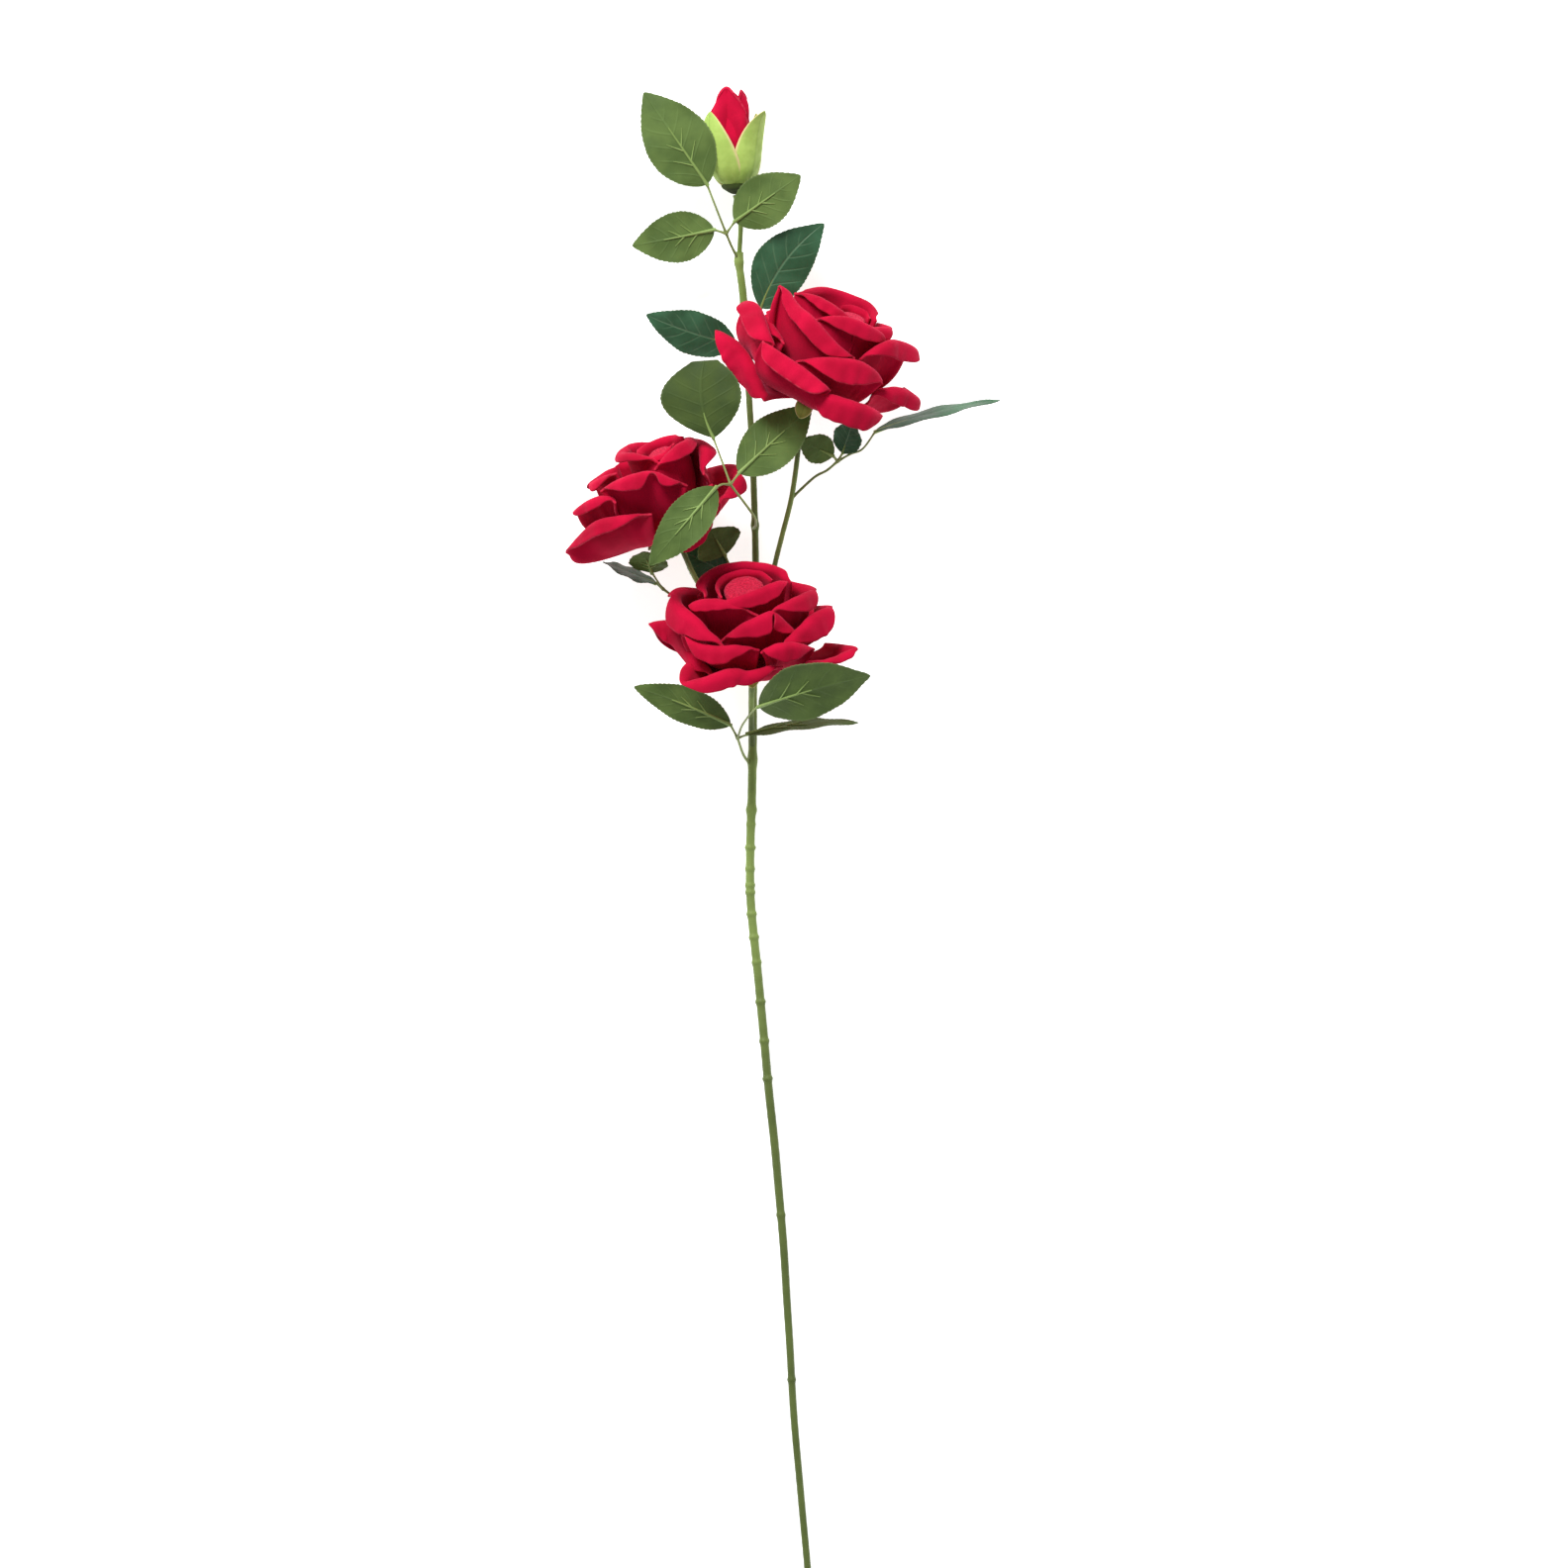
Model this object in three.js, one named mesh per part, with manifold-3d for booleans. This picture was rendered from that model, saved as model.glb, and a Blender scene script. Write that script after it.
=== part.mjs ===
// Artificial cut rose spray, lying on a flat surface: one long stem with three open velvet
// blooms, one bud and seven leaf sprays. Millimetres, +Z up. The design frame has the cut end
// of the stem at its origin and the spray running along +Y; the finished group is moved so that
// its origin is the bottom centre of its bounding box.
import * as THREE from "three";
import { mergeVertices } from "three/addons/utils/BufferGeometryUtils.js";
import Module from "manifold-3d";

const wasm = await Module();
wasm.setup();

// Driving dimensions.
const MAIN_STEM_RADIUS = 2.35;
const JOINT_RADIUS = 3.2;
const BRANCH_RADIUS = 1.9;
const BUD_STEM_RADIUS = 1.6;
const STALK_RADIUS = 0.9;
const STALK_BEAD_RADIUS = 1.5;
const FIT_GAP = 0.35;
const END_GAP = 0.9;
const BRANCH_STRAIGHT_END = 8;
const BLADE_THICKNESS = 0.8;
const BLADE_END_HALF_WIDTH = 0.5;
const PETAL_THICKNESS = 1.0;
const LAYER_PITCH = 2.2;

// Segment counts.
const STEM_SIDES = 8;
const STALK_SIDES = 6;
const BLADE_ROWS = 6;
const BLADE_COLUMNS = 4;
const PETAL_MESH = { facetsPerLobe: 5, rings: 4 };
const SEPAL_MESH = { facetsPerLobe: 4, rings: 3 };
const BUD_SEPAL_MESH = { facetsPerLobe: 4, rings: 6 };
const LATHE_SEGMENTS = 12;

// Finishes.
const FINISHES = {
  velvet: { color: 0xc4082e, roughness: 0.95, metalness: 0 },
  stem: { color: 0x5f7a3c, roughness: 0.5, metalness: 0 },
  joint: { color: 0x8fae55, roughness: 0.5, metalness: 0 },
  leaf: { color: 0x4d6b34, roughness: 0.7, metalness: 0 },
  sepal: { color: 0x8aa84e, roughness: 0.65, metalness: 0 },
};

// Routes of the woody parts, from the cut end upwards.
const MAIN_STEM_ROUTE = [
  [0, 0, 2.4], [-4, 45, 2.5], [-8, 89, 2.7], [-12, 155, 3.2], [-15, 199, 3.6],
  [-19, 243, 4.2], [-23.5, 287, 4.8], [-27.5, 331, 5.4], [-32, 375, 6], [-32.7, 408, 6.5],
  [-31.6, 441, 7], [-31.3, 474, 7.6], [-31, 502, 8], [-29.5, 540, 8.5], [-29.7, 573, 8.5],
  [-31, 622, 8.7], [-33, 656, 9], [-34.7, 691, 10], [-35.8, 710, 12],
];
const TOP_JOINT_ROUTE = [[-35.9, 710.5, 12.1], [-37, 722, 13.8], [-38.8, 736, 16], [-38.6, 742, 17]];
const BUD_STEM_ROUTE = [[-38.5, 742.6, 17.1], [-38, 757, 19.5], [-39, 766, 21], [-40.5, 773.6, 22.2]];

// Each bloom: base of its calyx, lean of its axis from +Y towards +X, lift of its axis towards
// +Z, size factor, turn of its petals about the axis, and the branch that carries it.
const BLOOMS = {
  left: {
    base: [-72, 581, 37.6], lean: -20, lift: 22, size: 0.88, turn: 6,
    branch: [
      [-31, 514, 8.2], [-42, 533, 10.5], [-54.5, 548, 13], [-61.6, 557.7, 18], [-66, 566, 27],
    ],
  },
  centre: {
    base: [-32, 508, 44.5], lean: -5, lift: 37.5, size: 1, turn: -14,
    branch: [[-31.3, 465, 7.4], [-31.8, 475, 13], [-32, 486, 24]],
  },
  right: {
    base: [-2.8, 654.5, 47.3], lean: 20, lift: 20, size: 1.04, turn: 18,
    branch: [
      [-30.3, 514, 8.2], [-26, 535, 10], [-23, 548, 11], [-18.7, 568.7, 15.5],
      [-14.9, 584, 22], [-9.4, 606, 31], [-6, 631, 39],
    ],
  },
};

// Petal layers of an open bloom from the outside in: lobes, length from the axis to the margin,
// final slope above the plane across the axis, turn of the lobes.
const PETAL_LAYERS = [
  { lobes: 5, length: 62, slope: 24, turn: 0 },
  { lobes: 5, length: 59, slope: 44, turn: 36 },
  { lobes: 4, length: 53, slope: 62, turn: 15 },
  { lobes: 4, length: 49, slope: 76, turn: 60 },
];
const OUTER_LAYER_HEIGHT = 6.5;
const LOBE_NOTCH = 0.22;
const CORE_PROFILE = [
  [0, 16.4], [4.5, 17], [8, 24], [10.4, 34], [10.4, 46], [8.6, 54], [0, 57],
];
const RECEPTACLE_PROFILE = [[3.2, 0], [5.4, 2.8]];
const SEPAL_LAYER = { lobes: 5, length: 25, slope: 14, turn: 36 };
const SEPAL_LAYER_HEIGHT = 4.2;
const SEPAL_NOTCH = 0.62;

// The bud at the top of the spray.
const BUD = { base: [-40.7, 774, 22], lean: -1, lift: 4, size: 1, turn: 0 };
const BUD_PROFILE = [[0, 8], [5, 9.5], [9.5, 18], [11, 30], [9, 43], [4.5, 53], [0, 58]];
const BUD_SEPAL_LAYER = { lobes: 5, length: 52, slope: 84, turn: 12 };
const BUD_SEPAL_NOTCH = 0.6;
const BUD_RECEPTACLE_PROFILE = [[2.6, 0], [6, 2.8]];

// Leaf sprays: the stalk's route from its host, then its leaflets. A leaflet has the place of
// its base and tip, the way its flat side faces, half its width, the rise of its middle above
// the straight line, and points that its small stalk passes.
const SPRAYS = [
  {
    name: "top", host: "top_joint",
    rachis: [[-38.8, 737, 16], [-43, 745, 23], [-46, 752, 29]],
    leaflets: [
      {
        via: [[-50, 762, 34]], base: [-57, 779, 38], tip: [-92, 830, 41],
        face: [0, 0, 1], half: 18, arch: 3,
      },
      {
        via: [], base: [-53, 754, 31], tip: [-98.5, 745, 33],
        face: [0, -0.1, 1], half: 13.5, arch: 3,
      },
      {
        via: [], base: [-41.5, 758.5, 33], tip: [-5, 784, 40],
        face: [0, 0, 1], half: 14, arch: 2,
      },
    ],
  },
  {
    name: "back", host: "main_stem",
    rachis: [[-34.8, 690, 10.5], [-35.3, 692, 13], [-35.5, 694, 15.5]],
    leaflets: [
      {
        via: [[-32, 701, 16]], base: [-27, 711, 17], tip: [6, 755, 24],
        face: [0.2, -0.1, 1], half: 15.5, arch: 3,
      },
      {
        via: [], base: [-41, 690.5, 15], tip: [-90.8, 707, 19],
        face: [0, -0.5, 0.85], half: 13, arch: 3,
      },
    ],
  },
  {
    name: "middle", host: "main_stem",
    rachis: [[-30.7, 588, 9], [-29.5, 590, 32], [-31, 595, 58], [-43.5, 611.5, 76]],
    leaflets: [
      {
        via: [[-48, 624, 73]], base: [-53.4, 637.5, 71], tip: [-57, 684, 70],
        face: [0, 0, 1], half: 21, arch: 3,
      },
      {
        via: [], base: [-39, 618, 69], tip: [-10, 645, 55],
        face: [-0.1, 0, 1], half: 12, arch: 2,
      },
      {
        via: [[-48, 611.5, 81]], base: [-52, 609.5, 88], tip: [-88.5, 566.5, 92],
        face: [0, 0, 1], half: 12.5, arch: 9,
      },
    ],
  },
  {
    name: "right", host: "right_branch",
    rachis: [[-9.7, 604.5, 30.5], [2.8, 616, 33], [10, 620, 35], [16, 625, 37]],
    leaflets: [
      {
        via: [[23, 629, 37], [30, 632, 37]], base: [37, 642, 37], tip: [106, 659, 31],
        face: [-0.3, 0.9, 0.35], half: 13, arch: 0,
      },
      {
        via: [], base: [13.2, 628, 41], tip: [-1, 634.5, 48],
        face: [0, -0.3, 1], half: 7, arch: 0,
      },
      {
        via: [], base: [18.5, 629.5, 41], tip: [23.5, 645, 45],
        face: [-0.6, 0, 0.8], half: 8, arch: 0,
      },
    ],
  },
  {
    name: "inner", host: "main_stem",
    rachis: [[-30, 556, 8.5], [-37, 559, 11], [-42, 561, 13]],
    leaflets: [
      {
        via: [], base: [-46, 563, 14], tip: [-70, 575, 18],
        face: [0, 0, 1], half: 10, arch: 1,
      },
      {
        via: [[-44, 567, 15]], base: [-47, 573, 18], tip: [-44, 592, 23],
        face: [0.4, 0, 0.9], half: 8, arch: 0,
      },
    ],
  },
  {
    name: "left", host: "left_branch",
    rachis: [[-55, 548.5, 13.3], [-66, 547, 18], [-75, 550, 24], [-81, 554, 27]],
    leaflets: [
      {
        via: [], base: [-85.5, 557.5, 29], tip: [-115, 569, 34],
        face: [0.3, 0.9, 0.3], half: 10, arch: 0,
      },
      {
        via: [[-84, 558, 33]], base: [-87.5, 563, 38], tip: [-108, 574, 45],
        face: [0.2, -0.9, 0.4], half: 9, arch: 0,
      },
    ],
  },
  {
    name: "bottom", host: "main_stem",
    rachis: [[-33, 457, 7.3], [-36.5, 462, 20], [-39.6, 471, 36]],
    leaflets: [
      {
        via: [], base: [-44, 478.5, 41], tip: [-97.4, 499.5, 46],
        face: [0, -0.4, 0.9], half: 12, arch: 3,
      },
      {
        via: [[-37, 478, 58], [-31, 486, 84]], base: [-28, 488.5, 93], tip: [33.5, 505.5, 99],
        face: [-0.2, -0.75, 0.9], half: 12, arch: 12,
      },
      {
        via: [], base: [-34.5, 473, 42], tip: [27, 479.5, 49],
        face: [0, 0.9, 0.35], half: 13, arch: 2,
      },
    ],
  },
];

const toVector = (point) => new THREE.Vector3(...point);

/** A mesh with its name and its own material. */
function piece(name, geometry, finish) {
  const mesh = new THREE.Mesh(geometry, new THREE.MeshStandardMaterial(FINISHES[finish]));
  mesh.name = name;
  return mesh;
}

/** A solid tube of a regular section along a smooth route. */
function tubeGeometry(route, radius, sides, stepsPerSpan) {
  const section = Array.from({ length: sides }, (_, k) => {
    const angle = (2 * Math.PI * k) / sides;
    return new THREE.Vector2(radius * Math.cos(angle), radius * Math.sin(angle));
  });
  const path = new THREE.CatmullRomCurve3(route.map(toVector), false, "centripetal");
  return new THREE.ExtrudeGeometry(new THREE.Shape(section), {
    steps: stepsPerSpan * (route.length - 1),
    bevelEnabled: false,
    extrudePath: path,
  });
}

/** A geometry as a boolean solid. */
function toSolid(geometry) {
  const bare = geometry.clone();
  bare.deleteAttribute("normal");
  bare.deleteAttribute("uv");
  const merged = mergeVertices(bare, 1e-4);
  return new wasm.Manifold(new wasm.Mesh({
    numProp: 3,
    vertProperties: new Float32Array(merged.attributes.position.array),
    triVerts: new Uint32Array(merged.index.array),
  }));
}

/** A boolean solid as a geometry. */
function toGeometry(solid) {
  const mesh = solid.getMesh();
  const geometry = new THREE.BufferGeometry();
  geometry.setAttribute("position", new THREE.BufferAttribute(mesh.vertProperties, 3));
  geometry.setIndex(new THREE.BufferAttribute(mesh.triVerts, 1));
  geometry.computeVertexNormals();
  return geometry;
}

/** Geometry from points and the triangles between them. */
function geometryFromFaces(points, faces) {
  const geometry = new THREE.BufferGeometry();
  geometry.setAttribute("position", new THREE.Float32BufferAttribute(points.flat(), 3));
  geometry.setIndex(faces.flat());
  geometry.computeVertexNormals();
  return geometry;
}

/** Points [radius, height] of a petal's profile, bending up from the axis to its slope. */
function profilePoint(length, slope, height, part, offset) {
  const parts = 24;
  const bendEnd = 0.55;
  let radius = 0;
  let rise = height;
  let angle = 0;
  for (let k = 0; k < parts; k += 1) {
    const middle = ((k + 0.5) / parts) * part;
    angle = THREE.MathUtils.degToRad(slope) * Math.sin((Math.PI / 2) * Math.min(1, middle / bendEnd));
    radius += (Math.cos(angle) * length * part) / parts;
    rise += (Math.sin(angle) * length * part) / parts;
  }
  return [Math.max(0, radius - offset * Math.sin(angle)), rise + offset * Math.cos(angle)];
}

/** A closed body: an outer and an inner surface of rings about the Z axis, joined at the rim. */
function ringShellGeometry(outer, inner, around) {
  const points = [];
  const faces = [];
  const startOf = (surface) => {
    const start = points.length;
    points.push([0, 0, surface.pole], ...surface.rings.flat());
    return start;
  };
  const starts = [startOf(outer), startOf(inner)];
  const at = (side, ring, k) => starts[side] + 1 + ring * around + (k % around);
  const quad = (side, low, high) => {
    const outside = [low[0], low[1], high[1], high[0]];
    const inside = [low[1], low[0], high[0], high[1]];
    const [a, b, c, d] = side === 0 ? outside : inside;
    faces.push([a, b, c], [a, c, d]);
  };
  for (let k = 0; k < around; k += 1) {
    faces.push([starts[0], at(0, 0, k + 1), at(0, 0, k)]);
    faces.push([starts[1], at(1, 0, k), at(1, 0, k + 1)]);
    [outer, inner].forEach((surface, side) => {
      for (let ring = 1; ring < surface.rings.length; ring += 1) {
        const low = [at(side, ring - 1, k), at(side, ring - 1, k + 1)];
        quad(side, low, [at(side, ring, k), at(side, ring, k + 1)]);
      }
    });
    const outerRim = [at(0, outer.rings.length - 1, k), at(0, outer.rings.length - 1, k + 1)];
    const innerRim = [at(1, inner.rings.length - 1, k), at(1, inner.rings.length - 1, k + 1)];
    quad(0, outerRim, innerRim);
  }
  return geometryFromFaces(points, faces);
}

/** A thin lobed cup about the local Z axis; a foot is the profile of a solid base under it. */
function lobedCupGeometry({ lobes, length, slope, turn }, height, notch, size, mesh, foot = []) {
  const around = lobes * mesh.facetsPerLobe;
  const ringAt = (place) => Array.from({ length: around }, (_, k) => {
    const [radius, rise] = place((2 * Math.PI * k) / around);
    const heading = (2 * Math.PI * k) / around + THREE.MathUtils.degToRad(turn);
    return [radius * Math.cos(heading), radius * Math.sin(heading), rise];
  });
  const cupRings = (offset) => Array.from({ length: mesh.rings }, (_, k) => {
    const share = (k + 1) / mesh.rings;
    return ringAt((angle) => {
      const lobe = 1 - notch * (1 - Math.abs(Math.cos((lobes * angle) / 2)) ** 0.7);
      const part = share * (1 - share ** 2 + share ** 2 * lobe);
      return profilePoint(length * size, slope, height, part, offset);
    });
  });
  const footRings = foot.map(([radius, rise]) => ringAt(() => [radius * size, rise * size]));
  const outer = { pole: foot.length > 0 ? 0 : height, rings: [...footRings, ...cupRings(0)] };
  const inner = { pole: height + PETAL_THICKNESS, rings: cupRings(PETAL_THICKNESS) };
  return ringShellGeometry(outer, inner, around);
}

/** A solid of revolution about the local Z axis. */
function turnedGeometry(profile, size) {
  const outline = profile.map(([radius, height]) => new THREE.Vector2(radius * size, height * size));
  return new THREE.LatheGeometry(outline, LATHE_SEGMENTS).rotateX(Math.PI / 2);
}

/** Middle line of a leaflet: a parabola from its base to its tip that rises towards its face. */
function leafSpine({ base, tip, face, arch }, part) {
  const normal = toVector(face).normalize();
  return toVector(base).lerp(toVector(tip), part).addScaledVector(normal, 4 * arch * part * (1 - part));
}

/** Half width of a leaflet at a part of its length: widest a little below the middle. */
function leafHalfWidth(half, part) {
  return BLADE_END_HALF_WIDTH + half * Math.sin(Math.PI * part ** 0.85) ** 0.85;
}

/** A leaflet's blade, as a thin closed plate that follows its middle line. */
function bladeGeometry(leaflet) {
  const points = [];
  const faces = [];
  const stride = BLADE_COLUMNS + 1;
  const perSurface = (BLADE_ROWS + 1) * stride;
  [-0.5, 0.5].forEach((level) => {
    for (let row = 0; row <= BLADE_ROWS; row += 1) {
      const part = row / BLADE_ROWS;
      const here = leafSpine(leaflet, part);
      const ahead = leafSpine(leaflet, Math.min(1, part + 0.01));
      const behind = leafSpine(leaflet, Math.max(0, part - 0.01));
      const along = ahead.sub(behind).normalize();
      const side = new THREE.Vector3().crossVectors(along, toVector(leaflet.face)).normalize();
      const normal = new THREE.Vector3().crossVectors(side, along);
      const half = leafHalfWidth(leaflet.half, part);
      for (let column = 0; column < stride; column += 1) {
        const across = (2 * column) / BLADE_COLUMNS - 1;
        const point = here.clone().addScaledVector(side, across * half);
        point.addScaledVector(normal, level * BLADE_THICKNESS);
        points.push(point.toArray());
      }
    }
  });
  const at = (surface, row, column) => surface * perSurface + row * stride + column;
  const quad = (a, b, c, d) => faces.push([a, b, c], [a, c, d]);
  for (let row = 0; row < BLADE_ROWS; row += 1) {
    for (let column = 0; column < BLADE_COLUMNS; column += 1) {
      quad(at(0, row, column), at(0, row + 1, column), at(0, row + 1, column + 1), at(0, row, column + 1));
      quad(at(1, row, column), at(1, row, column + 1), at(1, row + 1, column + 1), at(1, row + 1, column));
    }
    quad(at(0, row, 0), at(1, row, 0), at(1, row + 1, 0), at(0, row + 1, 0));
    const last = BLADE_COLUMNS;
    quad(at(0, row, last), at(0, row + 1, last), at(1, row + 1, last), at(1, row, last));
  }
  for (let column = 0; column < BLADE_COLUMNS; column += 1) {
    const end = BLADE_ROWS;
    quad(at(0, 0, column), at(0, 0, column + 1), at(1, 0, column + 1), at(1, 0, column));
    quad(at(0, end, column), at(1, end, column), at(1, end, column + 1), at(0, end, column + 1));
  }
  return geometryFromFaces(points, faces);
}

/** The axis of a flower, from its lean and lift. */
function flowerAxis({ lean, lift }) {
  const [side, up] = [lean, lift].map(THREE.MathUtils.degToRad);
  return new THREE.Vector3(Math.sin(side) * Math.cos(up), Math.cos(side) * Math.cos(up), Math.sin(up));
}

/** A group at a flower's base, its Z along the flower's axis and its -Y towards +Z. */
function flowerGroup(flower) {
  const axis = flowerAxis(flower);
  const lean = THREE.MathUtils.degToRad(flower.lean);
  const across = new THREE.Vector3(Math.cos(lean), -Math.sin(lean), 0);
  const behind = new THREE.Vector3().crossVectors(axis, across);
  const group = new THREE.Group();
  group.quaternion.setFromRotationMatrix(new THREE.Matrix4().makeBasis(across, behind, axis));
  group.position.set(...flower.base);
  return group;
}

/** An open bloom: calyx, four petal layers and the rolled core. */
function addBloom(parent, name, bloom) {
  const group = flowerGroup(bloom);
  const { size, turn } = bloom;
  const calyxLayer = { ...SEPAL_LAYER, turn: SEPAL_LAYER.turn + turn };
  const calyx = lobedCupGeometry(
    calyxLayer, SEPAL_LAYER_HEIGHT * size, SEPAL_NOTCH, size, SEPAL_MESH, RECEPTACLE_PROFILE,
  );
  group.add(piece(`${name}_bloom_calyx`, calyx, "sepal"));
  PETAL_LAYERS.forEach((layer, k) => {
    const turned = { ...layer, turn: layer.turn + turn };
    const height = (OUTER_LAYER_HEIGHT + k * LAYER_PITCH) * size;
    const cup = lobedCupGeometry(turned, height, LOBE_NOTCH, size, PETAL_MESH);
    group.add(piece(`${name}_bloom_petals_${PETAL_LAYERS.length - k}`, cup, "velvet"));
  });
  group.add(piece(`${name}_bloom_core`, turnedGeometry(CORE_PROFILE, size), "velvet"));
  parent.add(group);
}

/** The closed bud: calyx with tall sepals and the rolled petals. */
function addBud(parent) {
  const group = flowerGroup(BUD);
  const calyx = lobedCupGeometry(
    BUD_SEPAL_LAYER, SEPAL_LAYER_HEIGHT, BUD_SEPAL_NOTCH, BUD.size, BUD_SEPAL_MESH, BUD_RECEPTACLE_PROFILE,
  );
  group.add(piece("bud_calyx", calyx, "sepal"));
  group.add(piece("bud_petals", turnedGeometry(BUD_PROFILE, BUD.size), "velvet"));
  parent.add(group);
}

/** A spray's stalk with its side stalks, cut back where it meets its host. */
function stalkGeometry(spray, hostRoute, hostRadius) {
  const node = spray.rachis.at(-1);
  let stalk = toSolid(tubeGeometry(spray.rachis, STALK_RADIUS, STALK_SIDES, 3));
  const bead = new THREE.SphereGeometry(STALK_BEAD_RADIUS, 8, 6).translate(...node);
  stalk = stalk.add(toSolid(bead));
  spray.leaflets.forEach((leaflet) => {
    const base = leafSpine(leaflet, 0);
    const heading = leafSpine(leaflet, 0.02).sub(base).normalize();
    const end = base.addScaledVector(heading, -END_GAP).toArray();
    stalk = stalk.add(toSolid(tubeGeometry([node, ...leaflet.via, end], STALK_RADIUS, STALK_SIDES, 2)));
  });
  const host = toSolid(tubeGeometry(hostRoute, hostRadius + FIT_GAP, STEM_SIDES, 3));
  return toGeometry(stalk.subtract(host));
}

/** The route of a bloom's branch: its end runs straight along the axis, just short of the calyx. */
function branchRoute(bloom) {
  const ends = [BRANCH_STRAIGHT_END, FIT_GAP].map((back) => (
    toVector(bloom.base).addScaledVector(flowerAxis(bloom), -back).toArray()
  ));
  return [...bloom.branch, ...ends];
}

const woody = {
  main_stem: { route: MAIN_STEM_ROUTE, radius: MAIN_STEM_RADIUS, finish: "stem", host: null },
  top_joint: { route: TOP_JOINT_ROUTE, radius: JOINT_RADIUS, finish: "joint", host: null },
  bud_stem: { route: BUD_STEM_ROUTE, radius: BUD_STEM_RADIUS, finish: "joint", host: null },
};
Object.entries(BLOOMS).forEach(([name, bloom]) => {
  woody[`${name}_branch`] = {
    route: branchRoute(bloom), radius: BRANCH_RADIUS, finish: "stem", host: "main_stem",
  };
});

const design = new THREE.Group();
Object.entries(woody).forEach(([name, { route, radius, finish, host }]) => {
  const tube = tubeGeometry(route, radius, STEM_SIDES, 2);
  if (host === null) {
    design.add(piece(name, tube, finish));
    return;
  }
  const clearance = tubeGeometry(woody[host].route, woody[host].radius + FIT_GAP, STEM_SIDES, 2);
  design.add(piece(name, toGeometry(toSolid(tube).subtract(toSolid(clearance))), finish));
});
SPRAYS.forEach((spray) => {
  const host = woody[spray.host];
  design.add(piece(`${spray.name}_leaf_stalk`, stalkGeometry(spray, host.route, host.radius), "stem"));
  spray.leaflets.forEach((leaflet, k) => {
    design.add(piece(`${spray.name}_leaflet_${k + 1}`, bladeGeometry(leaflet), "leaf"));
  });
});
Object.entries(BLOOMS).forEach(([name, bloom]) => addBloom(design, name, bloom));
addBud(design);

// Move the spray so that its origin is the bottom centre of its bounding box.
const box = new THREE.Box3().setFromObject(design, true);
const centre = box.getCenter(new THREE.Vector3());
design.position.set(-centre.x, -centre.y, -box.min.z);

const group = new THREE.Group();
group.add(design);

export default group;
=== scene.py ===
"""Looks of an artificial rose spray: velvet blooms, printed cloth leaflets and plastic stems.

The spray lies on a pale floor with its bud at the top of the view. Every visible piece stands
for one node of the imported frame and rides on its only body. Design sizes are in millimetres,
measured from the cut end of the stem, and DesignSpace turns them into the frame's metres.
"""
import logging
import math
from collections.abc import Callable
from dataclasses import dataclass, field
from enum import Enum

import bpy
import numpy as np
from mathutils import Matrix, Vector


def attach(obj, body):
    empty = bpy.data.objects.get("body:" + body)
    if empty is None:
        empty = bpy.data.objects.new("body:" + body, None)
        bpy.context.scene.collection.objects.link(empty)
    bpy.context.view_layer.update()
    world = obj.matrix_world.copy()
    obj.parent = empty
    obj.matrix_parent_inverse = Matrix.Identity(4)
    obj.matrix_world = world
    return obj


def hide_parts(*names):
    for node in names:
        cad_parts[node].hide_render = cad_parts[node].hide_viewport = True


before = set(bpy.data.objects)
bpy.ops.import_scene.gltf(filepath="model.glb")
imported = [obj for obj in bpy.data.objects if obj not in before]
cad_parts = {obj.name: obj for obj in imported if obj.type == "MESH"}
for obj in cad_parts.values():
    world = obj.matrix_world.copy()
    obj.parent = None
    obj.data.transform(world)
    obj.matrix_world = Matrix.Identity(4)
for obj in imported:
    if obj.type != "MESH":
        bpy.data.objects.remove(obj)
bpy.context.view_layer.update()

log = logging.getLogger("rose_spray")

MM = 0.001
BODY = "root"
Point = tuple[float, float, float]
Colour = tuple[float, float, float, float]
Surface = Callable[[np.ndarray, np.ndarray], np.ndarray]


# ---------------------------------------------------------------------------------------------
# Places


class DesignSpace:
    """Turns design millimetres, measured from the cut end of the stem, into frame metres."""

    CUT_END: Point = (0.0, 0.0, 2.4)
    CAP_DEPTH: float = 0.0004

    def __init__(self) -> None:
        """Finds the cut end as the middle of the main stem's lowest ring in Y."""
        points = cad_points("main_stem")
        ring = points[points[:, 1] < points[:, 1].min() + self.CAP_DEPTH]
        middle = (ring.min(axis=0) + ring.max(axis=0)) / 2
        self.origin = middle - np.array(self.CUT_END) * MM

    def place(self, points: np.ndarray) -> np.ndarray:
        """Frame places of design points.

        Args:
            points: Design points in millimetres, one per row.

        Returns:
            The same points in the frame, in metres.
        """
        return np.asarray(points, float) * MM + self.origin

    def measure(self, points: np.ndarray) -> np.ndarray:
        """Design places of frame points.

        Args:
            points: Frame points in metres, one per row.

        Returns:
            The same points in design millimetres.
        """
        return (np.asarray(points, float) - self.origin) / MM


def cad_points(node: str) -> np.ndarray:
    """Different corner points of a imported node, in frame metres.

    Args:
        node: The node's name.

    Returns:
        One row per point.
    """
    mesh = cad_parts[node].data
    points = np.empty(len(mesh.vertices) * 3)
    mesh.vertices.foreach_get("co", points)
    return np.unique(points.reshape(-1, 3).round(6), axis=0)


def unit(vectors: np.ndarray) -> np.ndarray:
    """Vectors of length one, along the last axis."""
    return vectors / np.linalg.norm(vectors, axis=-1, keepdims=True)


def smoothstep(low: float, high: float, values: np.ndarray) -> np.ndarray:
    """Smooth rise of the values from 0 at low to 1 at high."""
    share = np.clip((values - low) / (high - low), 0, 1)
    return share * share * (3 - 2 * share)


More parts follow.
